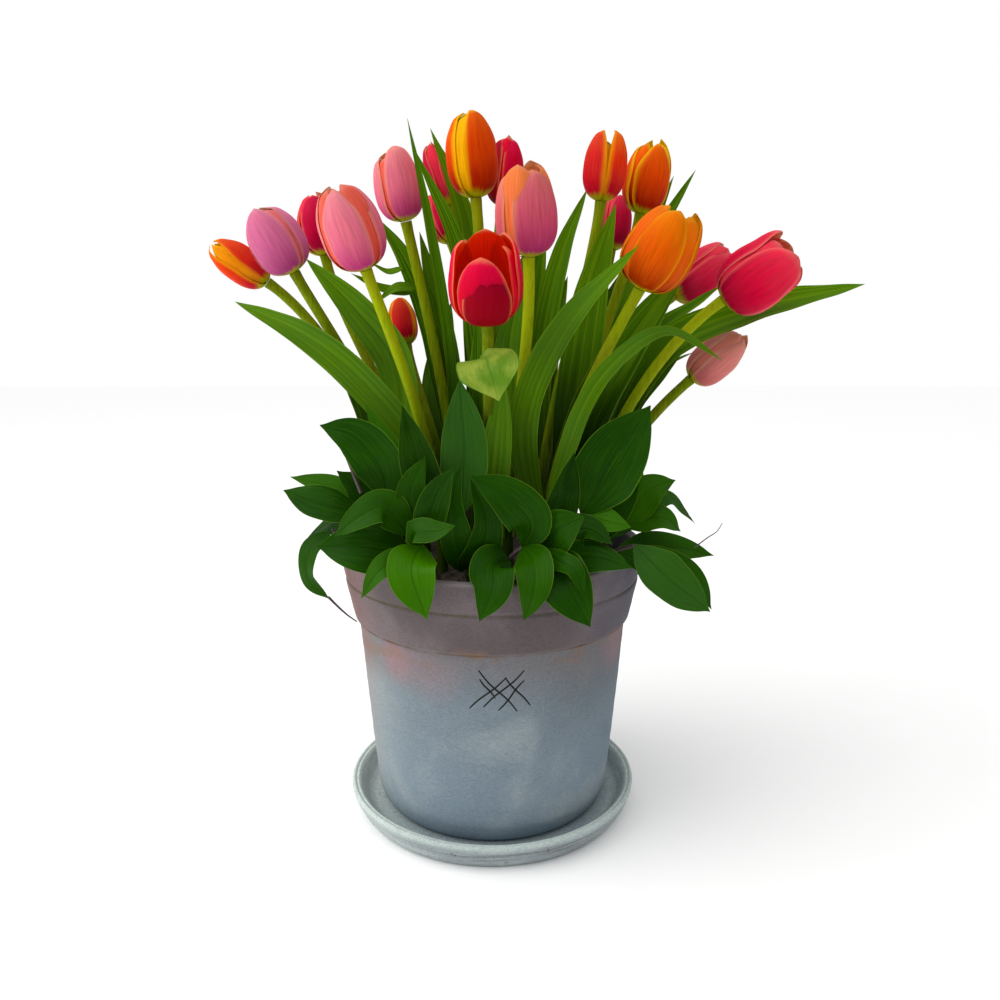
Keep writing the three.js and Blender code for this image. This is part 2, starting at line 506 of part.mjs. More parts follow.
function soil() {
  const side = GAP + 0.1;
  let body = lathe([
    [0, POT_FLOOR_Z + GAP], [INNER_FLOOR_R - side, POT_FLOOR_Z + GAP], [93.5 - side, POT_FLOOR_Z + 5.4],
    [INNER_BODY[0] - side, INNER_BODY[1]], [113 - side, COLLAR_Z + 10],
    [innerRadius(SOIL_TOP) - side, SOIL_TOP], [0, SOIL_TOP],
  ]);
  for (const tulip of TULIPS) body = body.subtract(hole(tulip.root, STEM_FOOT_Z, STEM_R, 6));
  for (const spec of SPRIGS) body = body.subtract(hole(spec.root, TWIG_FOOT_Z, TWIG_R, 5));
  return body;
}

// ---------------------------------------------------------------- assembly
const object = new THREE.Group();

function addPart(name, geometry, look) {
  const mesh = new THREE.Mesh(geometry, look);
  mesh.name = name;
  object.add(mesh);
}

const pad = (n) => String(n).padStart(2, "0");

addPart("saucer", toGeometry(saucer()), material("saucer", 0.85));
addPart("pot", toGeometry(pot()), material("clay", 0.9));
addPart("soil", toGeometry(soil()), material("soil", 1));
TULIPS.forEach((tulip, i) => {
  addPart(`tulip_plant_${pad(i + 1)}`, toGeometry(plant(tulip)), material("stem", 0.55));
  addPart(`tulip_bloom_${pad(i + 1)}`, bloom(tulip, i), material(tulip.color, 0.5));
});
SPRIGS.forEach((spec, i) => {
  addPart(`leaf_sprig_${pad(i + 1)}`, toGeometry(sprig(spec)), material("leaf", 0.5));
});

export default object;
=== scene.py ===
import math

import bpy
import numpy as np
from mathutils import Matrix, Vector


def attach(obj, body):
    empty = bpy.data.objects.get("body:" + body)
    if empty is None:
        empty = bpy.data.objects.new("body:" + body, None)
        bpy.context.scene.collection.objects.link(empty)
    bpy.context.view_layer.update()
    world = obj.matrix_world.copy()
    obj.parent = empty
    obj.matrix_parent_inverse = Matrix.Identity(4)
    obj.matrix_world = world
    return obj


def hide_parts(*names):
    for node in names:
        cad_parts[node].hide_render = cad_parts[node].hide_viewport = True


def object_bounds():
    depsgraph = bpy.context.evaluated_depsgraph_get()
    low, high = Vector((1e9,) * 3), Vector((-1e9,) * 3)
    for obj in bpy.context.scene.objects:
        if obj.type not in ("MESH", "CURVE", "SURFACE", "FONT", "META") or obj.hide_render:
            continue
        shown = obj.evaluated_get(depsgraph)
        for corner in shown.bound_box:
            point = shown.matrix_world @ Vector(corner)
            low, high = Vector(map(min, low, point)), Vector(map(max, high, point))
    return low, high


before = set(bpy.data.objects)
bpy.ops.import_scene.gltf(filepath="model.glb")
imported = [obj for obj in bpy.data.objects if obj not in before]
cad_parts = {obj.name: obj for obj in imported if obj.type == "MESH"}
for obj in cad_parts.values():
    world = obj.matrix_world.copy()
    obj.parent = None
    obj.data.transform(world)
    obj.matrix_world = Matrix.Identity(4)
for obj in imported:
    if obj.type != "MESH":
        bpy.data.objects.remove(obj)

# A potted tulip: nineteen tulips and a collar of broad-leaved sprigs in a whitewashed clay pot on
# its saucer. The tables and shapes are in millimetres, in the frame's axes (+Z up, -Y the front),
# and each finished piece is scaled to metres.

CAD_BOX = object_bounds()
MM = 0.001
BODY = "root"
RANDOM = np.random.default_rng(11)

# ------------------------------------------------------------------ driving dimensions
SOIL_TOP = 222.0
STEM_R = 4.7
TWIG_R = 1.9
STEM_DEPTH = 30.0        # the stems stand this deep in the soil
TWIG_DEPTH = 20.0
STRAIGHT = 6.0           # stems and twigs leave the soil straight up to this height over it
LAYER_GAP = 1.7          # the inner petals lie this much inside the outer ones
PETAL_THICK = 0.8
LONG_LEAF_THICK = 1.3
BROAD_LEAF_THICK = 0.9
LEAF_TIP_R = 0.12        # no leaf gets narrower than this half width
LEAF_WAVE_LENGTH = 45.0  # from one wave of a leaf's edge to the next
POT_FOOT_Z = 9.3
POT_FOOT_R = 93.0
POT_H = 240.0
POT_RIM_R = 130.0
POT_FLOOR_Z = 19.3
COLLAR_Z = 180.0
COLLAR_R = 119.0
BODY_R = 115.5
GROOVE_Z = 215.0
MARK_LOW = 130.0         # the pot's grid is fine between these two heights, for the hatch
MARK_HIGH = 169.5
MARK_STEP = 0.36
MARK_TURN = (-0.165, 0.285)   # and between these two bearings, in radians from the front
MARK_TURN_STEP = 0.003
POT_TURN_STEP = 0.045
SAUCER_R = 127.0
SAUCER_H = 24.6
SAUCER_FLOOR = 9.0
SAUCER_FOOT_R = 114.0
SAUCER_SIDES = 216
SOIL_SIDES = 180
CRUMBS = 420

# The photographer's camera, found from the rings of the pot and the saucer.
CAMERA_AT = (6.8, -754.0, 442.0)
CAMERA_DOWN = 12.5       # degrees below the horizon
CAMERA_LENS = 32.4       # on a 36 mm sensor
WORLD_LIGHT = 0.45       # the white surroundings light the part this much

# Leaf shapes: at each share of the length the half width as a share of the widest, how far the
# edges fold up over the midrib, the thickness, how much more the foot folds to clasp the stem, and
# how far the edges wave.
LONG_LEAF = dict(at=(0, 0.18, 0.42, 0.66, 0.86, 0.95, 1), width=(0.3, 0.7, 1, 0.92, 0.52, 0.22, 0.01),
                 fold=0.32, thick=LONG_LEAF_THICK, clasp=0.9, wave=0.05)
BROAD_LEAF = dict(at=(0, 0.14, 0.36, 0.62, 0.85, 0.95, 1), width=(0.09, 0.6, 1, 0.88, 0.43, 0.13, 0.01),
                  fold=0.14, thick=BROAD_LEAF_THICK, clasp=0, wave=0.045)
SPEAR_LEAF = dict(at=(0, 0.14, 0.36, 0.62, 0.85, 0.95, 1), width=(0.3, 0.9, 1, 0.72, 0.36, 0.13, 0.01),
                  fold=0.2, thick=BROAD_LEAF_THICK, clasp=0, wave=0.045)
BACK_LEAF = dict(at=(0, 0.18, 0.5, 0.82, 0.95, 1), width=(0.09, 0.7, 1, 0.54, 0.16, 0.01),
                 fold=0.14, thick=BROAD_LEAF_THICK, clasp=0, wave=0.045)
HEART_LEAF = dict(at=(0, 0.42, 0.54, 0.7, 0.87, 0.95, 1), width=(0.1, 0.12, 0.9, 1, 0.5, 0.18, 0.01),
                  fold=0.1, thick=BROAD_LEAF_THICK, clasp=0, wave=0.03)

# How a petal tapers: the share of its length where it starts to narrow, and its tip's two powers.
ROUND_TIP = (0.66, 2.3, 0.5)
BLUNT_TIP = (0.72, 2.8, 0.5)
POINTED_TIP = (0.45, 1.9, 0.7)


def leaf(at, width, face, *points, form=None, tone=None):
    """One leaf of a plant.

    `at` is where it starts: a height on the tulip's stem, the number of a twig's point, or a point
    of its own. From there it runs through the points to its tip. `width` is its largest half width,
    and its upper face turns towards `face`. The tone is its lightness from 0 to 1, drawn at random
    where it isn't given. A broad leaf with 0.95 is bluish, a painted sheen, and a long leaf over 0.85
    stays bright low down, out of the painted shade there.
    """
    return dict(at=at, width=width, face=face, points=points, form=form, tone=tone)


# Each tulip: root in the soil, base and tip of its head, r the head's widest radius, mouth the
# radius at the petal tips as a share of r, spin the bearing in degrees of its first outer petal,
# color the record's petal slot, skin a petal skin other than the slot's own, and inner and outer
# the half angles in radians of the inner and outer petals. A list of six holds a number for each
# petal, outer and inner by turns: tall and rise for its height, wide for its width, turn for its
# extra bearing in degrees, and tones for its shade, 0 the darkest and over 0.5 the inner petals'
# colour. stem is the stem's tone from dark to bright, near 0 also lifting the painted shade low on
# the stem, and curls are curled leaf ends beside it.
TULIPS = [
    dict(root=(-80, 13), base=(-190, 30, 457), tip=(-232, 20, 488), r=15.5, mouth=0.25, spin=-32,
         color="flame", outer=0.86, taper=POINTED_TIP, stem=0.25, leaves=[
        leaf(262, 16, (-0.3, -0.9, 0.3), (-102, 8, 356), (-133, 14, 411))]),
    dict(root=(-66, -8), base=(-158, -10, 464), tip=(-182, -20, 512), r=22, mouth=0.3, spin=-100,
         color="mauve", tones=(0.3, 0.75, 0.4, 0.75, 0.1, 0.9), stem=0.1, leaves=[
        leaf(290, 16, (-0.3, -0.9, 0.3), (-78, -8, 391), (-108, -14, 435), (-146, -20, 474))]),
    dict(root=(-60, 30), base=(-145, 55, 480), tip=(-155, 60, 532), r=18, mouth=0.3, spin=-80,
         color="crimson", stem=0.2, leaves=[
        leaf(290, 15, (-0.2, 0.5, 0.9), (-118, 66, 380), (-166, 92, 412))]),
    dict(root=(-41, -30), base=(-92, -70, 464), tip=(-110, -85, 521), r=23, mouth=0.32, spin=-94,
         color="pink", wide=(0.76, 1, 1.08, 1, 1.05, 1), tones=(0.35, 0.95, 0.3, 0.9, 0.4, 1.0),
         stem=0.8, leaves=[
        leaf(250, 13, (-0.3, -0.8, 0.5), (-60, -32, 320), (-110, -32, 384), (-153, -16, 415),
             (-214, 14, 441))]),
    dict(root=(-29, 2), base=(-69, 2, 504), tip=(-80, -3, 558), r=19, mouth=0.52, spin=-62, color="pink",
         taper=BLUNT_TIP, tall=(1, 0.95, 0.97, 0.98, 0.9, 0.97), tones=(0.35, 0.9, 0.4, 0.7, 0.45, 1.0),
         stem=0.35, leaves=[
        leaf(300, 4.5, (0, -1, 0.1), (-34, -12, 400), (-48, -23, 500), (-63, -30, 576)),
        leaf(320, 10, (-0.1, -1, 0.3), (-50, 12, 420), (-72, 18, 476), (-96, 24, 510)),
        leaf(290, 9.5, (0, -1, 0.1), (-36, 10, 390), (-48, 12, 450), (-59, 12, 497))], curls=[
        leaf((-74, 15, 468), 3.2, (0, -0.7, 0.7), (-85, 12, 465), (-99, 8, 472)),
        leaf((-66, 10, 448), 4.2, (0, -0.9, 0.4), (-90, 0, 452), (-112, -14, 463)),
        leaf((-64, 10, 452), 4.6, (0, -0.8, 0.6), (-78, 2, 452), (-93, -4, 441))]),
    dict(root=(-15, 28), base=(-36, 52, 520), tip=(-53, 60, 574), r=12.5, mouth=0.35, spin=-40,
         color="crimson", outer=0.8, taper=POINTED_TIP, leaves=[
        leaf(300, 10, (0, -1, 0.1), (-15, 28, 430), (-22, 26, 508), (-50, 28, 579))]),
    dict(root=(-18, 52), base=(-38, 104, 494), tip=(-54, 116, 538), r=15, mouth=0.3, spin=-70,
         color="crimson", leaves=[
        leaf(260, 16, (-0.2, 1, 0.3), (-50, 92, 345), (-40, 124, 440)),
        leaf(250, 15, (0.2, 0.8, 0.6), (0, 96, 350), (2, 134, 416))]),
    dict(root=(-5, -6), base=(-12, -15, 520), tip=(-18, -15, 583), r=20, mouth=0.22, spin=-52,
         color="sunset", taper=BLUNT_TIP, rise=(1, 1, 1, 1, 0.99, 1.04), wide=(1.05, 1, 1, 1, 0.8, 1),
         tones=(0.25, 0.9, 0.3, 0.7, 0.45, 1.0), stem=0.5, leaves=[
        leaf(300, 7.5, (0.1, -1, 0.2), (-12, -28, 400), (-25, -40, 480), (-57, -46, 552)),
        leaf(280, 14, (0.1, -1, 0.1), (10, 2, 380), (26, -2, 480))]),
    dict(root=(4, 30), base=(8, 60, 522), tip=(14, 68, 580), r=16, mouth=0.25, spin=-40,
         color="red", leaves=[
        leaf(290, 14, (0.1, -1, 0.1), (24, 54, 400), (46, 62, 504))]),
    dict(root=(13, -30), base=(28, -65, 473), tip=(24, -70, 539), r=23, mouth=0.5, spin=-60, color="salmon",
         outer=0.96, tall=(0.92, 0.97, 1.05, 1, 0.89, 0.98), wide=(1.1, 1, 1, 1, 0.76, 1),
         tones=(0.2, 0.95, 0.6, 0.8, 0.4, 1.0), stem=1.0, leaves=[
        leaf(250, 13, (0.1, -1, 0.2), (12, -36, 350), (16, -40, 420), (32, -40, 472))]),
    dict(root=(-3, -50), base=(-2, -108, 426), tip=(-4, -126, 487), r=26, mouth=0.62, spin=-90, color="red",
         inner=1.0, taper=(0.6, 2.6, 0.5), tall=(0.63, 0.9, 1, 0.99, 0.9, 0.84), turn=(0, 28, 0, 0, 8, 54),
         wide=(0.75, 0.68, 1, 1, 0.88, 0.85), tones=(0.0, 0.8, 0.48, 1.0, 0.48, 0.6), stem=0.0, leaves=[
        leaf(376, 22, (-0.1, -0.9, 0.4), (-4, -112, 403), (-1, -124, 396), (6, -130, 374), form=HEART_LEAF),
        leaf(300, 7, (-0.1, -1, 0.2), (-9, -74, 370), (-10, -80, 432)),
        leaf(252, 12, (0.1, -1, 0.1), (2, -78, 314), (6, -82, 352), (10, -90, 386))]),
    dict(root=(38, -3), base=(87, -2, 519), tip=(93, -2, 575), r=17, mouth=0.34, spin=-30, color="flame",
         outer=0.92, taper=(0.68, 2.6, 0.5), tall=(1, 0.86, 0.8, 0.86, 0.99, 0.78),
         wide=(1.1, 1, 1, 1, 1.1, 1), tones=(0.45, 0.9, 0.4, 0.7, 0.1, 0.9), stem=0.3, leaves=[
        leaf(280, 11, (-0.3, -1, 0.1), (42, 10, 400), (58, 14, 480), (78, 18, 531)),
        leaf(250, 12, (-0.1, -1, 0.1), (38, 18, 330), (48, 26, 400), (64, 30, 462))]),
    dict(root=(44, 38), base=(106, 82, 486), tip=(112, 92, 534), r=16, mouth=0.3, spin=-60,
         color="hotpink", leaves=[
        leaf(290, 9, (-0.3, -0.9, 0.3), (84, 72, 400), (134, 76, 480), (176, 68, 552)),
        leaf(270, 15, (0.2, 0.6, 0.8), (82, 96, 370), (120, 128, 420))]),
    dict(root=(56, 14), base=(123, 26, 512), tip=(134, 28, 571), r=19, mouth=0.42, spin=-74, color="sunset",
         inner=0.9, outer=0.98, taper=(0.5, 2.0, 0.65), tall=(0.93, 0.97, 1.03, 0.95, 0.9, 1.02),
         rise=(0.97, 1.03, 1.04, 1.05, 1, 0.97), wide=(1.06, 1, 1, 1, 0.9, 1),
         tones=(0.3, 1.0, 0.9, 1.0, 0.4, 0.4), leaves=[
        leaf(270, 16, (-0.2, -1, 0.2), (68, -22, 362), (80, -28, 452), (96, -28, 514)),
        leaf(330, 8, (-0.2, -1, 0.2), (122, 40, 470), (154, 50, 545))]),
    dict(root=(42, -32), base=(110, -70, 450), tip=(138, -80, 507), r=26, mouth=0.5, spin=-104,
         color="orange", inner=0.98, outer=0.9, tall=(1, 1, 0.98, 0.97, 0.97, 0.98),
         wide=(0.8, 1, 1, 1, 1, 1), tones=(0.45, 0.55, 0.2, 0.7, 0.4, 0.8), stem=0.55, leaves=[
        leaf(246, 12.5, (-0.3, -0.9, 0.4), (26, -68, 350), (52, -90, 420), (104, -102, 480), tone=0.92),
        leaf(240, 8.5, (-0.2, -0.7, 0.7), (54, -64, 310), (82, -80, 384), (128, -78, 419), (175, -66, 398),
             tone=1.0),
        leaf(262, 17, (-0.3, -0.9, 0.3), (90, -42, 377), (122, -42, 429), (150, -38, 466), tone=0.4)]),
    dict(root=(66, 34), base=(159, 56, 446), tip=(208, 66, 483), r=20, mouth=0.45, spin=-60,
         color="hotpink", leaves=[
        leaf(280, 13, (-0.2, -0.6, 0.8), (120, 36, 392), (192, 24, 454)),
        leaf(270, 15, (0.2, 0.5, 0.9), (124, 76, 362), (186, 98, 394))]),
    dict(root=(76, -12), base=(183, -25, 442), tip=(231, -45, 478), r=26, mouth=0.75, spin=-90,
         color="rose", tones=(0.3, 0.7, 0.4, 0.8, 0.2, 0.9), stem=0.9, leaves=[
        leaf(318, 14.5, (-0.1, -0.85, 0.5), (140, -2, 400), (206, 2, 432), (304, 0, 455))]),
    dict(root=(82, 10), base=(170, 20, 376), tip=(211, 10, 414), r=17.5, mouth=0.3, spin=-70, color="pink",
         skin="salmon_pale", outer=0.84, leaves=[
        leaf(262, 11, (-0.1, -1, 0.4), (120, 32, 352), (148, 42, 380), (166, 46, 396))]),
    dict(root=(-38, 50), base=(-80, 96, 402), tip=(-88, 110, 444), r=13, mouth=0.3, spin=-90,
         color="flame", leaves=[
        leaf(250, 15, (-0.3, 0.6, 0.8), (-86, 74, 316), (-130, 98, 372))]),
]

# Each sprig: root in the soil, the points of its twig over it, its leaves, and on some a tendril,
# a thin bare end that starts with the radius tendril_r.
SPRIGS = [
    dict(root=(-58, -58), twig=[(-64, -66, 262), (-78, -75, 290)],
         tendril=[(-104, -52, 292), (-113, -45, 312), (-119, -39, 326), (-121, -36, 338)],
         tendril_r=1.5, leaves=[
        leaf(1, 19, (-0.2, -0.9, 0.3), (-86, -80, 322), (-105, -76, 341), (-131, -70, 349), tone=0.4),
        leaf(0, 12, (-0.1, -1, 0.2), (-81, -56, 327), (-99, -46, 362), tone=0.8)]),
    dict(root=(-80, -42), twig=[(-90, -52, 256), (-102, -62, 278)], leaves=[
        leaf(1, 15, (-0.1, -0.8, 0.7), (-127, -70, 286), (-164, -60, 296), tone=0.5),
        leaf(0, 12, (-0.1, -0.7, 0.7), (-126, -40, 292), (-165, -30, 301), tone=0.75),
        leaf(0, 14, (0, -0.9, 0.4), (-104, -44, 291), (-125, -40, 308), tone=0.3)]),
    dict(root=(-60, -74), twig=[(-62, -84, 250), (-62, -92, 268)], leaves=[
        leaf(1, 14, (-0.1, -0.8, 0.6), (-80, -106, 293), (-99, -110, 285), (-116, -108, 271), tone=0.6),
        leaf(0, 20, (-0.3, -0.9, 0.4), (-95, -102, 261), (-132, -96, 260), tone=0.45),
        leaf(1, 11.5, (0.1, -1, 0.1), (-59, -98, 306), (-48, -100, 330), tone=0.6),
        leaf(1, 15, (0, -1, 0.1), (-50, -90, 292), (-57, -90, 333), (-66, -86, 366), tone=0.12)]),
    dict(root=(-94, -34), twig=[(-110, -46, 256), (-128, -56, 262)],
         tendril=[(-130, -70, 211), (-124, -62, 200), (-118, -54, 190), (-112, -47, 182)],
         tendril_r=1.1, leaves=[
        leaf(1, 10, (-0.6, -0.7, 0.2), (-144, -62, 248), (-146, -66, 226), (-129, -70, 209), tone=0.6),
        leaf(0, 15, (-0.6, -0.2, 0.8), (-130, -22, 262), (-156, -14, 246), tone=0.3),
        leaf(0, 14, (-0.7, 0.1, 0.7), (-124, -14, 276), (-144, 4, 286), tone=0.3)]),
    dict(root=(-40, -84), twig=[(-46, -96, 250), (-52, -104, 264)], leaves=[
        leaf(1, 18, (0, -0.9, 0.3), (-57, -132, 252), (-46, -140, 218), tone=0.88),
        leaf(0, 11, (-0.4, -0.8, 0.3), (-78, -124, 252), (-94, -132, 231), tone=0.7),
        leaf(1, 12, (0.1, -1, 0.2), (-38, -112, 306), (-26, -118, 325), tone=0.35),
        leaf(1, 10, (0.1, -0.8, 0.6), (-55, -116, 277), (-41, -124, 279), (-25, -130, 285), tone=0.6)]),
    dict(root=(-18, -82), twig=[(-20, -88, 238), (-22, -88, 284)], leaves=[
        leaf(1, 18, (0, -1, 0.1), (-20, -86, 340), (-23, -86, 386), tone=0.95),
        leaf(0, 12.5, (-0.2, -1, 0), (-26, -104, 275), (-28, -104, 298), (-22, -102, 323), form=SPEAR_LEAF,
             tone=0.5),
        leaf(0, 13.5, (0.3, -1, 0), (-6, -104, 263), (-3, -106, 283), (-15, -104, 314), form=SPEAR_LEAF,
             tone=0.45)]),
    dict(root=(12, -86), twig=[(14, -96, 250), (24, -104, 262)], leaves=[
        leaf(1, 17, (0, -0.9, 0.4), (29, -114, 282), (14, -120, 302), (-15, -120, 320), tone=0.45),
        leaf(0, 17, (-0.1, -0.9, 0.3), (2, -122, 252), (1, -138, 239), (-8, -142, 217), tone=0.55),
        leaf(1, 14, (0, -0.9, 0.3), (31, -130, 256), (31, -142, 241), (24, -143, 218), tone=0.62)]),
    dict(root=(42, -78), twig=[(40, -92, 248), (38, -102, 260)], leaves=[
        leaf(1, 16.5, (0, -0.9, 0.4), (51, -114, 278), (68, -120, 289), tone=0.5),
        leaf(0, 13, (0.1, -0.8, 0.6), (71, -96, 274), (90, -112, 266), tone=0.4),
        leaf(1, 20, (0.1, -0.9, 0.2), (55, -134, 240), (72, -140, 212), tone=0.5),
        leaf(0, 14, (0.2, -0.8, 0.5), (81, -112, 255), (104, -120, 250), tone=0.5),
        leaf(1, 8, (0.1, -0.9, 0.4), (48, -124, 258), (60, -136, 254), (67, -140, 234), tone=0.5),
        leaf(0, 13, (0.1, -1, 0.2), (55, -98, 299), (62, -94, 332), tone=0.1)]),
    dict(root=(66, -60), twig=[(68, -74, 254), (70, -84, 282)], leaves=[
        leaf(1, 25, (-0.2, -1, 0.1), (91, -86, 323), (120, -78, 365), tone=0.38),
        leaf(0, 15, (0, -0.9, 0.4), (98, -72, 289), (116, -66, 313), tone=0.5),
        leaf(1, 10, (0.1, -0.8, 0.6), (90, -96, 279), (105, -100, 276), tone=0.8)]),
    dict(root=(82, -36), twig=[(92, -48, 252), (104, -60, 268)],
         tendril=[(161, -18, 269), (167, -15, 264), (172, -12, 257)], tendril_r=0.5, leaves=[
        leaf(1, 15, (0.1, -0.8, 0.6), (125, -58, 296), (146, -54, 303), tone=0.75),
        leaf(0, 9, (0.3, -0.6, 0.8), (146, -24, 282), (161, -18, 269), (170, -14, 259), tone=0.95),
        leaf(1, 13, (0.2, -0.7, 0.7), (135, -64, 275), (151, -58, 262), tone=0.7),
        leaf(0, 13, (0.5, -0.3, 0.8), (120, -12, 280), (142, -2, 292), tone=0.2)]),
    dict(root=(86, -54), twig=[(98, -70, 249), (110, -86, 258)],
         tendril=[(164, -52, 247), (175, -50, 255), (182, -50, 260), (186, -50, 267)],
         tendril_r=0.6, leaves=[
        leaf(1, 18, (0, -0.9, 0.5), (130, -98, 240), (170, -90, 206), tone=0.95),
        leaf(0, 14, (0.3, -0.8, 0.4), (159, -68, 226), (178, -62, 198), tone=0.6),
        leaf(0, 14, (0.2, -0.8, 0.6), (152, -46, 245), (182, -44, 238), tone=0.65)]),
]

# The hatch scratched in the pot's front: each stroke's two ends (x, z) and its S-shaped sway.
MARK_STROKES = [
    ((-9.2, 167.0), (19.9, 132.1), 0.9),
    ((-8.5, 159.5), (3.0, 144.2), 0.4),
    ((11.4, 160.2), (30.0, 136.2), 0.5),
    ((-16.3, 135.0), (11.4, 161.0), -0.6),
    ((-5.5, 136.4), (25.1, 166.0), -0.8),
    ((6.0, 133.8), (25.2, 157.4), 0.6),
]

# Bare pink clay under the collar: centre, solid radius, faded radius and strength.
PINK_PATCHES = [
    ((-76, -84, 168), 4, 30, 0.75),
    ((-48, -102, 160), 2, 32, 0.30),
    ((104, -48, 168), 4, 36, 0.6),
]

BACK_SPRIG_ANGLES = (20, 55, 90, 125, 160)   # degrees from +X towards +Y
BACK_SPRIG_LIFT = 14     # every other one has its tallest leaf this much higher


def back_sprig(degrees, lift):
    """A sprig of the back, which repeats round the rim, with its tallest leaf lifted."""
    turn = math.radians(degrees)

    def at(radius, side, z):
        return (radius * math.cos(turn) - side * math.sin(turn),
                radius * math.sin(turn) + side * math.cos(turn), z)

    def face(up):
        return (math.cos(turn) * 0.6, math.sin(turn) * 0.6, up)

    return dict(root=at(88, 0, 0)[:2], twig=[at(97, 0, 252), at(106, 0, 272)], leaves=[
        leaf(1, 18, face(0.5), at(120, 10, 302 + lift), at(136, 20, 322 + lift), form=BACK_LEAF),
        leaf(1, 19, face(0.8), at(136, -6, 274), at(160, -8, 240), form=BACK_LEAF),
        leaf(0, 14, face(0.8), at(124, 26, 262), at(146, 34, 246), form=BACK_LEAF),
        leaf(0, 14, face(0.6), at(114, -26, 270), at(128, -32, 296), form=BACK_LEAF)])


SPRIGS += [back_sprig(degrees, 0 if index % 2 else BACK_SPRIG_LIFT)
           for index, degrees in enumerate(BACK_SPRIG_ANGLES)]


# ------------------------------------------------------------------ numbers and curves
def arr(*values):
    return np.array(values, dtype=float)


def random_phase():
    """A random angle in radians."""
    return RANDOM.random() * 6.28


def full_turn(sides):
    return np.linspace(0, 2 * math.pi, sides, endpoint=False)


def unit(vectors):
    vectors = np.asarray(vectors, dtype=float)
    return vectors / np.linalg.norm(vectors, axis=-1, keepdims=True)


def ease(x, low, high):
    """0 below low, 1 above high, and a smooth step between them."""
    t = np.clip((np.asarray(x, dtype=float) - low) / (high - low), 0, 1)
    return t * t * (3 - 2 * t)


def smooth_through(xs, ys, x):
    """A smooth curve through the given points that never overshoots them."""
    xs, ys = np.array(xs, dtype=float), np.array(ys, dtype=float)
    gap = np.diff(xs)
    slope = np.diff(ys) / gap
    tangent = np.concatenate([slope[:1], (slope[:-1] + slope[1:]) / 2, slope[-1:]])
    for i in range(1, len(xs) - 1):
        if slope[i - 1] * slope[i] <= 0:
            tangent[i] = 0
        else:
            limit = 3 * min(abs(slope[i - 1]), abs(slope[i]))
            tangent[i] = np.clip(tangent[i], -limit, limit)
    x = np.asarray(x, dtype=float)
    k = np.clip(np.searchsorted(xs, x, side="right") - 1, 0, len(xs) - 2)
    t = (x - xs[k]) / gap[k]
    return ((1 + 2 * t) * (1 - t) ** 2 * ys[k] + t * (1 - t) ** 2 * gap[k] * tangent[k]
            + t * t * (3 - 2 * t) * ys[k + 1] + t * t * (t - 1) * gap[k] * tangent[k + 1])


def srgb(red, green, blue):
    """A colour named by its 0-255 screen values, in the linear light that shaders use."""
    return tuple(v / 12.92 if v <= 0.04045 else ((v + 0.055) / 1.055) ** 2.4
                 for v in (red / 255, green / 255, blue / 255))


class Path:
    """A smooth path through points, read by its share of length."""

    def __init__(self, dense):
        self.dense = dense
        steps = np.linalg.norm(np.diff(dense, axis=0), axis=1)
        self.length = steps.sum()
        self.share = np.concatenate([[0], np.cumsum(steps)]) / self.length

    def at(self, share):
        return np.stack([np.interp(share, self.share, self.dense[:, k]) for k in range(3)], axis=-1)

    def along(self, share):
        step = 0.004
        return unit(self.at(np.minimum(share + step, 1)) - self.at(np.maximum(share - step, 0)))


def through(points):
    """The centripetal Catmull-Rom path through the points."""
    p = np.array(points, dtype=float)
    p = np.vstack([2 * p[0] - p[1], p, 2 * p[-1] - p[-2]])
    dense = []
    for i in range(1, len(p) - 2):
        a, b, c, d = p[i - 1:i + 3]
        d0, d1, d2 = (np.sqrt(np.linalg.norm(q)) for q in (b - a, c - b, d - c))
        t1 = ((b - a) / d0 - (c - a) / (d0 + d1) + (c - b) / d1) * d1
        t2 = ((c - b) / d1 - (d - b) / (d1 + d2) + (d - c) / d2) * d1
        t = np.linspace(0, 1, 120)[:, None]
        dense.append((1 + t * (t * (2 * t - 3))) * b + t * (1 - t) ** 2 * t1
                     + t * t * (3 - 2 * t) * c + t * t * (t - 1) * t2)
    return Path(np.vstack([dense[0]] + [piece[1:] for piece in dense[1:]]))


def bezier(a, b, c, d):
    t = np.linspace(0, 1, 200)[:, None]
    return (1 - t) ** 3 * a + 3 * t * (1 - t) ** 2 * b + 3 * t * t * (1 - t) * c + t ** 3 * d


# ------------------------------------------------------------------ pieces from points
VALUES = ("along", "across", "tint", "upper")


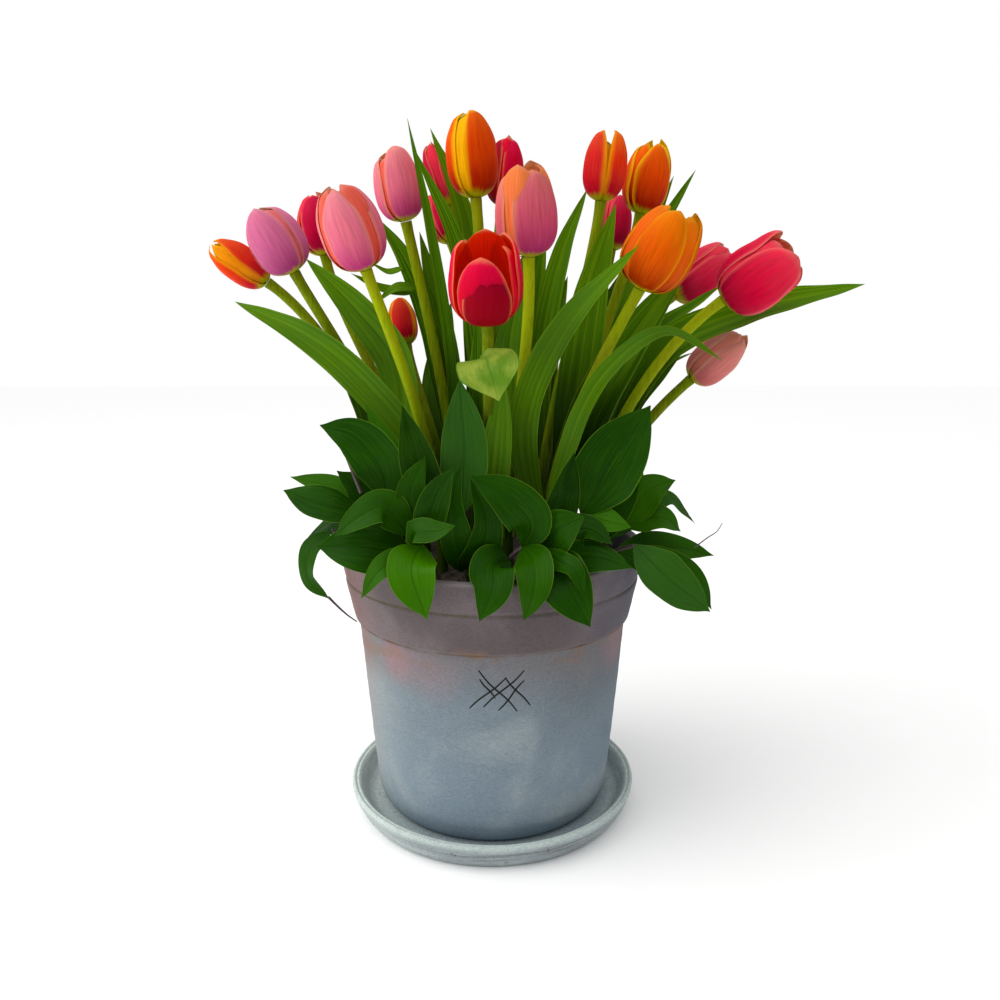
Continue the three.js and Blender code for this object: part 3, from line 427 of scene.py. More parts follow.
class Shape:
    """The points, faces and per-point values of one piece, gathered part by part."""

    def __init__(self):
        self.points, self.quads, self.tris = [], [], []
        self.quad_parts, self.tri_parts = [], []
        self.values = {name: [] for name in VALUES}
        self.count = 0
        self.part = 0        # the number of the material that the next faces get

    def add(self, points, quads, tris=(), **values):
        """Adds points with their faces; each value is one number, or one for each point."""
        points = np.asarray(points, dtype=float).reshape(-1, 3)
        self.points.append(points)
        for faces, size, store, parts in ((quads, 4, self.quads, self.quad_parts),
                                          (tris, 3, self.tris, self.tri_parts)):
            store.append(np.asarray(faces, dtype=np.int64).reshape(-1, size) + self.count)
            parts.append(np.full(len(faces), self.part, dtype=np.int32))
        for name in VALUES:
            self.values[name].append(np.broadcast_to(values.get(name, 0.0), (len(points),)))
        self.count += len(points)

    def build(self, name, *materials, soft_edge=50):
        """Makes the object; edges sharper than soft_edge, in degrees, stay sharp."""
        points = np.clip(np.vstack(self.points) * MM, CAD_BOX[0], CAD_BOX[1])
        quads = np.vstack(self.quads)
        tris = np.vstack(self.tris)
        mesh = bpy.data.meshes.new(name)
        mesh.vertices.add(len(points))
        mesh.vertices.foreach_set("co", points.ravel().astype(np.float32))
        loops = np.concatenate([quads.ravel(), tris.ravel()]).astype(np.int32)
        mesh.loops.add(len(loops))
        mesh.loops.foreach_set("vertex_index", loops)
        starts = np.concatenate([np.arange(len(quads)) * 4, len(quads) * 4 + np.arange(len(tris)) * 3])
        mesh.polygons.add(len(starts))
        mesh.polygons.foreach_set("loop_start", starts.astype(np.int32))
        mesh.update(calc_edges=True)
        mesh.validate()
        for value, stored in self.values.items():
            layer = mesh.attributes.new(value, "FLOAT", "POINT")
            layer.data.foreach_set("value", np.concatenate(stored).astype(np.float32))
        for material in materials:
            mesh.materials.append(material)
        mesh.polygons.foreach_set("material_index", np.concatenate(self.quad_parts + self.tri_parts))
        mesh.shade_smooth()
        mesh.set_sharp_from_angle(angle=math.radians(soft_edge))
        piece = bpy.data.objects.new(name, mesh)
        bpy.context.scene.collection.objects.link(piece)
        return piece


def grid_faces(rows, cols, wrap=False):
    """Quads over rows x cols points; wrap closes each row on itself."""
    i, j = np.meshgrid(np.arange(rows - 1), np.arange(cols if wrap else cols - 1), indexing="ij")
    i, j = i.ravel(), j.ravel()
    k = (j + 1) % cols
    return np.stack([i * cols + j, i * cols + k, (i + 1) * cols + k, (i + 1) * cols + j], axis=1)


def cap_faces(rows, cols):
    """Triangles from a wrapped grid's first and last rows to the two points stored after it."""
    k = np.arange(cols)
    n = (k + 1) % cols
    last = (rows - 1) * cols
    low = np.stack([n, k, np.full(cols, rows * cols)], axis=1)
    high = np.stack([last + k, last + n, np.full(cols, rows * cols + 1)], axis=1)
    return np.vstack([low, high])


def rim_faces(rows, cols):
    """Quads that close the edges between an upper grid and the under grid stored after it."""
    size = rows * cols
    i, j = np.arange(rows - 1) * cols, np.arange(cols - 1)
    left = np.stack([i, i + cols, i + cols + size, i + size], axis=1)
    r = i + cols - 1
    right = np.stack([r + cols, r, r + size, r + cols + size], axis=1)
    foot = np.stack([j + 1, j, j + size, j + 1 + size], axis=1)
    t = size - cols + j
    tip = np.stack([t, t + 1, t + 1 + size, t + size], axis=1)
    return np.vstack([left, right, foot, tip])


def add_sheet(shape, upper, under, along, across, tint):
    """A thin closed blade from its two faces, each rows x cols points."""
    rows, cols = upper.shape[:2]
    top = grid_faces(rows, cols)
    quads = np.vstack([top, top[:, ::-1] + rows * cols, rim_faces(rows, cols)])
    shape.add(np.vstack([upper.reshape(-1, 3), under.reshape(-1, 3)]), quads,
              along=np.tile(np.repeat(along, cols), 2), across=np.tile(across, 2 * rows), tint=tint,
              upper=np.repeat((1.0, 0.0), rows * cols))


def add_tube(shape, centres, radii, sides, end=None, tint=0.0, along=None, bumps=None):
    """A closed tube along the centres, with flat ends square to the path or to the given end."""
    count = len(centres)
    tangents = unit(np.gradient(centres, axis=0))
    if end is not None:
        tangents[-1] = end
    side = arr(1, 0, 0)
    turn = full_turn(sides)
    rings = []
    for centre, radius, tangent in zip(centres, np.broadcast_to(radii, (count,)), tangents):
        side = unit(side - tangent * side.dot(tangent))
        other = np.cross(tangent, side)
        grow = radius * (1 + (bumps(turn) if bumps else 0))
        rings.append(centre + np.outer(grow * np.cos(turn), side) + np.outer(grow * np.sin(turn), other))
    if along is None:
        along = np.linspace(0, 1, count)
    shape.add(np.vstack(rings + [centres[:1], centres[-1:]]), grid_faces(count, sides, wrap=True),
              cap_faces(count, sides), tint=tint,
              along=np.concatenate([np.repeat(along, sides), along[:1], along[-1:]]),
              across=np.concatenate([np.tile(np.cos(turn), count), [0, 0]]))


# ------------------------------------------------------------------ leaves
def add_leaf(shape, start, spec, form, rows, cols):
    """A leaf blade from its start through the points of its spec to the tip."""
    path = through([start, *spec["points"]])
    share = 1 - (1 - np.linspace(0, 1, rows)) ** 1.15
    centre = path.at(share)
    along = path.along(share)
    face = np.array(spec["face"], dtype=float)
    up = unit(face - along * (along @ face)[:, None])
    side = np.cross(along, up)
    half = np.maximum(spec["width"] * smooth_through(form["at"], form["width"], share),
                      TWIG_R * 0.6 * (1 - ease(share, 0.5, 0.9)) + LEAF_TIP_R)
    v = np.linspace(-1, 1, cols)
    tint = RANDOM.random()
    if spec["tone"] is not None:
        tint = spec["tone"]
    phase = random_phase()
    lean = RANDOM.uniform(-0.35, 0.35)
    waves = max(2.0, path.length / LEAF_WAVE_LENGTH)
    centre, side, up, share, half = (values[:, None] for values in (centre, side, up, share, half))
    fold = form["fold"] + form["clasp"] * (1 - ease(share, 0.02, 0.16))
    curl = 0.10 * np.sin(share * 3.0 + phase)
    lift = half * fold * np.abs(v) ** 1.35
    lift = lift + half * curl * v * np.abs(v)
    ripple = np.sin(2 * math.pi * waves * share + phase + 2.2 * v)
    calm = ease(share, 0.1, 0.4) * (1 - ease(share, 0.9, 1.0))
    lift = lift + form["wave"] * spec["width"] * ripple * np.abs(v) ** 2.5 * calm
    spread = half * (v + 0.03 * lean * (1 - v * v))
    middle = centre + side * spread[..., None] + up * lift[..., None]
    thick = form["thick"] * (1 - 0.72 * np.abs(v) ** 1.5) * (1 - 0.55 * ease(share, 0.5, 1))
    groove = 0.35 * np.exp(-(v / 0.07) ** 2) * np.minimum(1, half / 8)
    upper = middle + up * (thick / 2 - groove)[..., None]
    under = middle - up * (thick / 2 + groove * 0.8)[..., None]
    add_sheet(shape, upper, under, share, v, tint)


# ------------------------------------------------------------------ tulip stems and leaves
def head_axis(tulip):
    return unit(arr(*tulip["tip"]) - arr(*tulip["base"]))


def stem_points(tulip):
    base = arr(*tulip["base"])
    root = arr(*tulip["root"], SOIL_TOP + STRAIGHT)
    rise = (base[2] - root[2]) * 0.4
    return bezier(root, root + arr(0, 0, rise), base - head_axis(tulip) * rise * 0.7, base)


def plant_piece(tulip, number):
    """A tulip's stem with its long leaves."""
    shape = Shape()
    points = stem_points(tulip)
    path = Path(np.vstack([arr(*tulip["root"], SOIL_TOP - STEM_DEPTH), points]))
    share = np.linspace(0, 1, 60)
    thick = STEM_R * (1 - 0.10 * share + 0.10 * ease(share, 0.97, 1.0))
    lean = random_phase()
    tone = RANDOM.random() * 0.4
    add_tube(shape, path.at(share), thick, sides=18, end=head_axis(tulip), tint=tulip.get("stem", tone),
             along=share, bumps=lambda turn: 0.025 * np.sin(3 * turn + lean))
    for spec in tulip["leaves"]:
        shape.part = 2 if spec["form"] is HEART_LEAF else 1
        start = points[np.argmax(points[:, 2] >= spec["at"])]
        add_leaf(shape, start, spec, spec["form"] or LONG_LEAF, rows=44, cols=15)
    shape.part = 1
    for spec in tulip.get("curls", ()):
        add_leaf(shape, spec["at"], spec, SPEAR_LEAF, rows=24, cols=9)
    return shape.build(f"tulip_{number:02d}_stem_and_leaves", STEM_SKIN, LONG_LEAF_SKIN, PALE_LEAF_SKIN)


# ------------------------------------------------------------------ tulip heads
def petal_faces(petal, rows=32, cols=23):
    """The inner and outer points of a petal that stands round +Z.

    petal holds radius, height, mouth, foot_z, bearing, half_angle, taper (see ROUND_TIP), tuck (how
    far its edges lie in from the round), slant (how far one edge lies out and the other in) and curl.
    """
    radius, height, mouth, foot_z = (petal[key] for key in ("radius", "height", "mouth", "foot_z"))
    shoulder = 0.68 + 0.32 * mouth
    keys_z = (foot_z, foot_z + height * 0.03, foot_z + height * 0.10, height * 0.26, height * 0.47,
              height * 0.68, height * 0.84, height * 0.94, height)
    keys_r = (4.4, radius * 0.40 + 1.2, radius * 0.72, radius * 0.94, radius, radius * 0.945,
              radius * shoulder, radius * (0.42 + 0.58 * mouth), radius * mouth)
    steps = np.hypot(np.diff(keys_z), np.diff(keys_r))
    arc = np.concatenate([[0], np.cumsum(steps)]) / steps.sum()
    share = 1 - (1 - np.linspace(0, 1, rows)) ** 1.4
    z = smooth_through(arc, keys_z, share)
    r = smooth_through(arc, keys_r, share)
    spread = petal["half_angle"] * smooth_through((0, 0.3, 0.55, 0.75, 1), (0.96, 0.98, 1, 0.96, 0.85),
                                                  z / height)
    starts, power, root = petal["taper"]
    blunt = np.clip(1 - (np.clip(share - starts, 0, 1) / (1 - starts)) ** power, 0, 1) ** root
    half = np.maximum(spread * blunt, 0.15 / np.maximum(r, 1))
    v = np.linspace(-1, 1, cols)
    phase = random_phase()
    share, z, r, half = (values[:, None] for values in (share, z, r, half))
    body = np.sin(math.pi * np.clip(share, 0, 1))
    angle = petal["bearing"] + half * v
    angle = angle + 0.07 * math.sin(phase) * share ** 2
    crease = -0.016 * radius * np.exp(-(v / 0.09) ** 2) * body
    ribs = 0.035 * np.cos(19 * v + phase) * body
    tuck = -petal["tuck"] * np.abs(v) ** 2.2 * ease(share, 0.1, 0.5)
    tuck = tuck - 0.05 * radius * v ** 2 * ease(share, 0.55, 0.9)
    slant = petal["slant"] * v * ease(share, 0.02, 0.2)
    flare = petal["curl"] * radius * np.abs(v) ** 3 * ease(share, 0.45, 0.95)
    frill = 0.012 * radius * np.sin(8 * share + phase) * v ** 3 * ease(share, 0.2, 0.6)
    rr = r + crease + ribs + tuck + slant + flare + frill
    uneven = np.sin(6 * v + phase) * np.abs(v) * ease(share, 0.7, 1)
    zz = z + 0.007 * height * uneven
    thick = PETAL_THICK * (1 - 0.6 * np.abs(v) ** 2) * (1 - 0.5 * ease(share, 0.6, 1))

    def points(radial):
        return np.stack([radial * np.cos(angle), radial * np.sin(angle),
                         np.broadcast_to(zz, radial.shape)], axis=-1)

    return points(rr - thick / 2), points(rr + thick / 2), share, v


def line_of_points(way, radii, heights):
    """Points at the given distances from +Z towards `way`, and at the given heights."""
    return np.asarray(radii)[:, None] * way + np.asarray(heights)[:, None] * arr(0, 0, 1)


def add_pistil(shape, height, turn):
    """The receptacle, and the three-lobed pistil on it."""
    knob = np.outer(np.linspace(0.3, 4.0, 9), arr(0, 0, 1))
    add_tube(shape, knob @ turn.T, 4.3 + 0.9 * np.sin(np.linspace(0, math.pi * 0.75, 9)), sides=18)
    pistil = np.outer(np.linspace(3, height * 0.42, 12), arr(0, 0, 1))
    width = 2.3 + 0.5 * np.sin(np.linspace(0, math.pi, 12)) + 1.6 * ease(np.linspace(0, 1, 12), 0.8, 1)
    add_tube(shape, pistil @ turn.T, width, sides=18, bumps=lambda a: 0.16 * np.cos(3 * a))


def add_stamens(shape, height, turn):
    """Six stamens round the pistil, each a stalk with a pollen bag."""
    for k in range(6):
        angle = k * math.pi / 3 + 0.4
        way = arr(math.cos(angle), math.sin(angle), 0)
        stalk = line_of_points(way, np.linspace(3, 6.2, 6), np.linspace(4, height * 0.26, 6))
        add_tube(shape, stalk @ turn.T, 0.55, sides=7, tint=0.3)
        bag = line_of_points(way, np.linspace(6.2, 7.0, 9), np.linspace(height * 0.25, height * 0.45, 9))
        swell = 0.3 + 1.1 * np.sqrt(np.clip(np.sin(np.linspace(0.05, math.pi - 0.05, 9)), 0, 1))
        add_tube(shape, bag @ turn.T, swell, sides=9, tint=1.0)


def bloom_pieces(tulip, number):
    """A tulip head: its six petals as one piece, and what stands inside them as another."""
    same = (1,) * 6
    look = dict(inner=1.02, outer=0.98, taper=ROUND_TIP, skin=tulip["color"], tones=None,
                tall=same, rise=same, wide=same, turn=(0,) * 6) | tulip
    base = arr(*tulip["base"])
    height = float(np.linalg.norm(arr(*tulip["tip"]) - base))
    turn = np.array(Vector((0, 0, 1)).rotation_difference(Vector(head_axis(tulip))).to_matrix())
    petals = Shape()
    for k in range(6):
        inner = k % 2 == 1
        vary = (1 + 0.04 * math.sin((number - 1) * 2.1 + k * 1.7)) * look["tall"][k] * look["rise"][k]
        inside, outside, share, v = petal_faces(dict(
            radius=tulip["r"] - (LAYER_GAP if inner else 0),
            height=height * (0.96 if inner else 0.985) * vary,
            mouth=tulip["mouth"] * (0.9 if inner else 1.0),
            foot_z=1.6 if inner else 0.5,
            bearing=math.radians(k * 60 + tulip["spin"] + look["turn"][k]),
            half_angle=look["inner" if inner else "outer"] * look["wide"][k],
            taper=look["taper"],
            tuck=0.5 if inner else LAYER_GAP - 0.8,
            slant=0.2 if inner else 0.25,
            curl=0.0 if inner else 0.02 * tulip["mouth"]))
        tone = 0.5 * inner + 0.5 * RANDOM.random()
        add_sheet(petals, inside @ turn.T + base, outside @ turn.T + base, share, v,
                  look["tones"][k] if look["tones"] else tone)
    heart = Shape()
    add_pistil(heart, height, turn)
    heart.part = 1
    add_stamens(heart, height, turn)
    heart.points = [points + base for points in heart.points]
    return (petals.build(f"tulip_{number:02d}_petals", PETAL_SKINS[look["skin"]]),
            heart.build(f"tulip_{number:02d}_heart", STEM_SKIN, ANTHER_SKIN))


# ------------------------------------------------------------------ materials
class Graph:
    """Builds a material's nodes; what draws something returns the socket that holds it."""

    def __init__(self, name):
        self.material = bpy.data.materials.new(name)
        self.material.use_nodes = True
        self.tree = self.material.node_tree
        self.shader = self.tree.nodes["Principled BSDF"]
        self.count = 0

    def node(self, kind, **settings):
        made = self.tree.nodes.new(kind)
        for key, value in settings.items():
            setattr(made, key, value)
        made.location = (-220 * (1 + self.count % 9), -180 * (self.count // 9))
        self.count += 1
        return made

    def put(self, socket, value):
        """Links the socket to another one, or sets it to a colour or number."""
        if isinstance(value, bpy.types.NodeSocket):
            self.tree.links.new(value, socket)
        elif isinstance(value, (tuple, list)) and socket.type == "RGBA":
            socket.default_value = (*value[:3], 1)
        else:
            socket.default_value = value

    def fill(self, sockets, values):
        for socket, value in zip(sockets, values):
            self.put(socket, value)

    def value(self, name):
        return self.node("ShaderNodeAttribute", attribute_name=name).outputs["Fac"]

    def values(self):
        """What the mesh holds on its points: along, across, tint and upper."""
        return [self.value(name) for name in VALUES]

    def place(self):
        return self.node("ShaderNodeTexCoord").outputs["Object"]

    def split(self, vector):
        made = self.node("ShaderNodeSeparateXYZ")
        self.put(made.inputs[0], vector)
        return made.outputs

    def join(self, *terms):
        made = self.node("ShaderNodeCombineXYZ")
        self.fill(made.inputs, self.scaled(terms))
        return made.outputs[0]

    def math(self, operation, *values):
        made = self.node("ShaderNodeMath", operation=operation)
        self.fill(made.inputs, values)
        return made.outputs[0]

    def times(self, first, *values):
        for value in values:
            first = self.math("MULTIPLY", first, value)
        return first

    def scaled(self, terms):
        """The values of the terms, of which a term in a pair with its scale is multiplied by it."""
        return [self.times(*term) if isinstance(term, tuple) else term for term in terms]

    def add(self, *terms):
        first, *values = self.scaled(terms)
        for value in values:
            first = self.math("ADD", first, value)
        return first

    def ease(self, x, low, high, start=0.0, end=1.0):
        """A smooth step of x from start at low to end at high."""
        made = self.node("ShaderNodeMapRange", interpolation_type="SMOOTHSTEP")
        self.fill(made.inputs, (x, low, high, start, end))
        return made.outputs[0]

    def noise(self, vector, scale, detail=2.0, rough=0.5, twist=0.0):
        made = self.node("ShaderNodeTexNoise")
        names = ("Vector", "Scale", "Detail", "Roughness", "Distortion")
        self.fill([made.inputs[name] for name in names], (vector, scale, detail, rough, twist))
        return made.outputs["Fac"]

    def bent(self, vector, scale, reach):
        """The vector shifted by a slow noise, which bends what is drawn over it."""
        made = self.node("ShaderNodeTexNoise")
        self.put(made.inputs["Vector"], vector)
        self.put(made.inputs["Scale"], scale)
        self.put(made.inputs["Detail"], 1.0)
        shift = self.node("ShaderNodeVectorMath", operation="MULTIPLY_ADD")
        self.put(shift.inputs[0], made.outputs["Color"])
        shift.inputs[1].default_value = (reach, reach, reach)
        self.put(shift.inputs[2], vector)
        return shift.outputs[0]

    def mix(self, share, low, high, blend="MIX"):
        """Colour low turning to high as share goes from 0 to 1."""
        made = self.node("ShaderNodeMix", data_type="RGBA", blend_type=blend)
        self.fill((made.inputs["Factor"], made.inputs[6], made.inputs[7]), (share, low, high))
        return made.outputs[2]

    def over(self, colour, *layers):
        """Lays more colours over the first: each layer is a colour and its share, or a colour, its
        full share and x, low, high, where the share grows from 0 at low to full at high."""
        for layer, share, *reach in layers:
            if reach:
                share = self.ease(*reach, 0.0, share)
            colour = self.mix(share, colour, layer)
        return colour

    def shade(self, colour, tone):
        return self.mix(1.0, colour, self.join(tone, tone, tone), "MULTIPLY")

    def bump(self, height, depth, strength):
        made = self.node("ShaderNodeBump")
        self.put(made.inputs["Height"], height)
        self.put(made.inputs["Distance"], depth * MM)
        self.put(made.inputs["Strength"], strength)
        return made.outputs["Normal"]

    def finish(self, **sockets):
        """Sets the shader's sockets, given with _ for each space."""
        for name, value in sockets.items():
            self.put(self.shader.inputs[name.replace("_", " ")], value)
        return self.material


# The petal skins: the screen colours of the body, low down, near the tip, along the edge, at the
# heart, of the inner petals and of the lining inside. Then where the edge's colour starts across the
# petal, and the shares of the inner petals' colour and of the lining.
PETAL_LOOKS = {
    "flame": ([(234, 50, 14), (196, 6, 38), (242, 98, 16), (244, 140, 4), (228, 150, 10),
               (244, 160, 4), (244, 170, 8)], 0.74, 0.7, 0.7),
    "mauve": ([(204, 100, 142), (170, 58, 118), (220, 116, 144), (224, 126, 132), (214, 138, 110),
               (226, 100, 88), (226, 118, 100)], 0.80, 0.75, 0.6),
    "crimson": ([(218, 4, 62), (168, 0, 50), (240, 40, 76), (240, 110, 84), (214, 74, 50),
                 (226, 60, 60), (226, 60, 50)], 0.84, 0.4, 0.5),
    "pink": ([(234, 108, 132), (196, 54, 122), (240, 132, 138), (238, 132, 112), (232, 134, 70),
              (236, 84, 54), (236, 110, 70)], 0.80, 0.85, 0.7),
    "sunset": ([(232, 70, 0), (166, 14, 0), (242, 100, 0), (250, 172, 0), (240, 170, 10),
                (250, 182, 0), (250, 190, 0)], 0.72, 0.8, 0.8),
    "red": ([(200, 0, 40), (122, 0, 10), (222, 4, 66), (250, 130, 84), (240, 24, 0),
             (212, 4, 26), (252, 36, 0)], 0.89, 0.6, 0.95),
    "salmon": ([(218, 92, 104), (184, 48, 110), (232, 124, 98), (234, 130, 92), (232, 126, 66),
                (240, 118, 52), (240, 126, 66)], 0.80, 0.85, 0.7),
    "salmon_pale": ([(226, 128, 122), (206, 104, 102), (236, 142, 126), (240, 158, 138), (232, 146, 110),
                     (238, 130, 108), (238, 140, 112)], 0.74, 0.6, 0.6),
    "hotpink": ([(226, 20, 66), (168, 0, 52), (244, 76, 90), (238, 100, 88), (220, 30, 40),
                 (226, 40, 60), (230, 40, 50)], 0.82, 0.4, 0.6),
    "orange": ([(226, 88, 0), (160, 38, 0), (240, 116, 0), (246, 148, 2), (242, 160, 8),
                (232, 92, 24), (246, 170, 6)], 0.84, 0.5, 0.7),
    "rose": ([(222, 0, 54), (168, 0, 46), (244, 48, 76), (240, 104, 100), (226, 60, 50),
              (232, 60, 76), (234, 84, 72)], 0.84, 0.4, 0.7),
}
YELLOW_FOOT = (0.44, 0.41, 0.0)
RED_FOOT = srgb(110, 6, 10)


def petal_skin(name):
    """A petal's skin, streaked along, with the foot of the petal in a colour of its own."""
    colours, edge_from, inner_share, lining_share = PETAL_LOOKS[name]
    body, low, high, edge, heart, inner, lining = (srgb(*colour) for colour in colours)
    g = Graph("petal_" + name)
    along, across, tint, upper = g.values()
    wide = g.math("ABSOLUTE", across)
    lane = g.add((across, 7.0), (tint, 31.0))
    streaks = g.noise(g.join(lane, (along, 0.8), tint), 1.6, 3.0, 0.6)
    fine = g.noise(g.join((lane, 4.5), (along, 1.6), tint), 1.9, 2.0, 0.6)
    patch = g.noise(g.join((across, 0.8), (along, 1.9), (tint, 9.0)), 1.5, 2.0)
    ragged = g.add((streaks, 0.5), (fine, 0.3), -0.4)
    rim = g.add(wide, (along, 0.12), (ragged, 0.55))
    tip = g.add(along, (wide, 0.05), (ragged, 0.15))
    foot = g.add(along, (wide, -0.04), (ragged, 0.20))
    colour = g.over(
        low,
        (body, 1.0, g.add(along, ragged), 0.12, 0.55),
        (high, 1.0, g.add(along, ragged, (patch, 0.2)), 0.62, 1.05),
        (high, 0.22, patch, 0.35, 0.75),
        (low, g.ease(tint, 0.0, 0.4, 0.75, 0.0)),
        (edge, 1.0, rim, edge_from, edge_from + 0.34),
        (inner, inner_share, tint, 0.49, 0.75),
        (edge, 0.7, tip, 0.90, 1.02))
    inside = g.over(colour, (lining, lining_share, along, 0.97, 0.90))
    inside = g.mix(g.ease(along, 0.18, 0.5), heart, inside)
    colour = g.mix(upper, colour, inside)
    colour = g.mix(g.ease(foot, 0.03, 0.15, 1.0, 0.0), colour, RED_FOOT if name == "red" else YELLOW_FOOT)
    colour = g.shade(colour, g.ease(g.add(fine, (streaks, 0.4)), 0.5, 0.95, 1.14, 0.74))
    height = g.add((fine, 0.7), (streaks, 0.8))
    return g.finish(Base_Color=colour, Roughness=g.ease(streaks, 0.3, 0.7, 0.42, 0.54),
                    Specular_IOR_Level=0.03, Subsurface_Weight=0.3,
                    Subsurface_Radius=(0.9, 0.4, 0.25), Subsurface_Scale=0.006,
                    Normal=g.bump(height, 0.3, 0.6))


def long_leaf_skin():
    """A tulip leaf: fine parallel veins, a paler midline and edge, and painted shade that darkens it low
    down.
    """
    g = Graph("long_leaf")
    along, across, tint, upper = g.values()
    wide = g.math("ABSOLUTE", across)
    lane = g.add((across, 9.0), (tint, 40.0))
    veins = g.noise(g.join((lane, 2.2), (along, 1.2), tint), 1.7, 3.0, 0.65)
    bands = g.noise(g.join((lane, 0.5), (along, 1.5), tint), 1.2, 2.0)
    patch = g.noise(g.place(), 16.0, 2.0)
    # high is 0 low in the foliage and 1 above 0.47 m or on leaves toned over 0.85; where it is low the leaf
    # gets painted shade, nearly black green
    high = g.math("MAXIMUM", g.ease(g.split(g.place())[2], 0.29, 0.47), g.ease(tint, 0.85, 0.95, 0.0, 0.9))
    leafy = g.mix(g.ease(tint, 0.0, 1.0), srgb(52, 98, 2), srgb(80, 124, 4))
    light = g.mix(high, srgb(20, 52, 1), srgb(104, 146, 6))
    colour = g.over(
        g.mix(high, srgb(8, 30, 1), leafy),
        (light, 0.7, bands, 0.44, 0.60),
        (light, 0.5, veins, 0.48, 0.72),
        (srgb(16, 56, 1), 0.6, veins, 0.48, 0.30),
        (srgb(50, 96, 40), 0.3, g.times(g.add(tint, patch), 0.5), 0.62, 0.85),
        (srgb(104, 142, 24), 0.25, wide, 0.05, 0.0),
        (srgb(136, 158, 48), 0.6, wide, 0.96, 1.0),
        (srgb(78, 112, 30), g.times(g.math("SUBTRACT", 1.0, upper), 0.30)))
    height = g.add(veins, (bands, 0.6))
    return g.finish(Base_Color=colour, Roughness=g.ease(veins, 0.3, 0.7, 0.34, 0.46),
                    Specular_IOR_Level=0.03, Normal=g.bump(height, 0.35, 0.6))


def broad_leaf_skin():
    """A collar leaf: veins that arch from foot to tip, a thin pale edge, satin and deep green, with a
    painted bluish sheen on the leaves toned highest.
    """
    g = Graph("broad_leaf")
    along, across, tint, upper = g.values()
    wide = g.math("ABSOLUTE", across)
    wander = g.noise(g.join((across, 1.4), (along, 2.2), (tint, 23.0)), 1.0, 2.0)
    lane = g.add((across, 3.1), (wander, 0.45))
    main = g.ease(g.math("PINGPONG", lane, 0.5), 0.06, 0.0)
    rib = g.ease(wide, 0.03, 0.0)
    fibre = g.noise(g.join((across, 26.0), (along, 3.0), (tint, 19.0)), 1.0, 3.0, 0.65)
    patch = g.noise(g.place(), 22.0, 3.0)
    colour = g.over(
        srgb(8, 34, 0),
        (srgb(20, 60, 0), 1.0, tint, 0.0, 0.5),
        (srgb(52, 104, 0), 1.0, tint, 0.5, 0.9),
        # painted sheen: leaves toned over 0.91 turn bluish grey
        (srgb(42, 82, 26), 0.85, tint, 0.91, 0.93),
        (srgb(42, 90, 0), 0.30, patch, 0.35, 0.7),
        (srgb(64, 110, 4), 0.25, fibre, 0.42, 0.8),
        (srgb(10, 38, 1), 0.4, fibre, 0.5, 0.2),
        (srgb(12, 44, 2), g.times(main, 0.10)),
        (srgb(10, 40, 2), g.times(rib, 0.45)),
        (srgb(104, 140, 30), 0.7, wide, 0.965, 1.0),
        (srgb(56, 100, 10), g.times(g.math("SUBTRACT", 1.0, upper), 0.40)))
    height = g.add((fibre, 0.5), (main, -0.5), (rib, -1.0), (patch, 0.4))
    return g.finish(Base_Color=colour, Roughness=g.ease(fibre, 0.3, 0.75, 0.28, 0.40),
                    Specular_IOR_Level=0.045, Normal=g.bump(height, 0.4, 0.6))


def pale_leaf_skin():
    """The young leaf under the front tulip: pale yellow green with a net of darker veins."""
    g = Graph("pale_leaf")
    along, across, tint, _ = g.values()
    wide = g.math("ABSOLUTE", across)
    cloud = g.noise(g.place(), 55.0, 3.0)
    fibre = g.noise(g.join((across, 13.0), (along, 5.0), tint), 1.6, 4.0, 0.7, 0.6)
    colour = g.over(
        (0.10, 0.22, 0.010),
        ((0.29, 0.38, 0.045), 1.0, cloud, 0.3, 0.7),
        ((0.06, 0.17, 0.010), 0.7, fibre, 0.5, 0.3),
        ((0.07, 0.18, 0.012), 0.7, wide, 0.06, 0.0),
        ((0.05, 0.17, 0.010), 0.8, wide, 0.93, 1.0))
    return g.finish(Base_Color=colour, Roughness=g.ease(fibre, 0.3, 0.7, 0.4, 0.5),
                    Specular_IOR_Level=0.08, Subsurface_Weight=0.1,
                    Subsurface_Radius=(0.5, 0.8, 0.2), Subsurface_Scale=0.003,
                    Normal=g.bump(fibre, 0.4, 0.7))


def stem_skin():
    """A stem: yellow-green, streaked along and darker lower down, with painted shade that makes it nearly
    black low down among the leaves.
    """
    g = Graph("stem")
    along, _, tint, _ = g.values()
    x, y, z = g.split(g.place())[:3]
    streak = g.noise(g.join((x, 9.0), (y, 9.0), (z, 0.5)), 60.0, 3.0, 0.6)
    patch = g.noise(g.place(), 30.0, 2.0)
    ripe = g.mix(g.ease(tint, 0.0, 1.0), (0.12, 0.18, 0.001), (0.34, 0.42, 0.002))
    # how high the painted shade reaches; a tone near 0 lifts it by 5 cm
    height = g.add(z, g.ease(tint, 0.0, 0.06, -0.05, 0.0))
    colour = g.over(
        (0.10, 0.18, 0.001),
        (ripe, 1.0, along, 0.3, 0.95),
        ((0.34, 0.38, 0.006), 0.35, streak, 0.38, 0.7),
        ((0.07, 0.14, 0.001), 0.5, streak, 0.5, 0.25),
        ((0.26, 0.22, 0.01), 0.25, patch, 0.45, 0.7),
        # painted shade: nearly black low down among the leaves
        ((0.010, 0.030, 0.001), 0.9, height, 0.36, 0.28))
    return g.finish(Base_Color=colour, Roughness=g.ease(streak, 0.3, 0.7, 0.38, 0.5),
                    Specular_IOR_Level=0.03, Subsurface_Weight=0.08,
                    Subsurface_Radius=(0.4, 0.8, 0.2), Subsurface_Scale=0.003,
                    Normal=g.bump(streak, 0.3, 0.6))


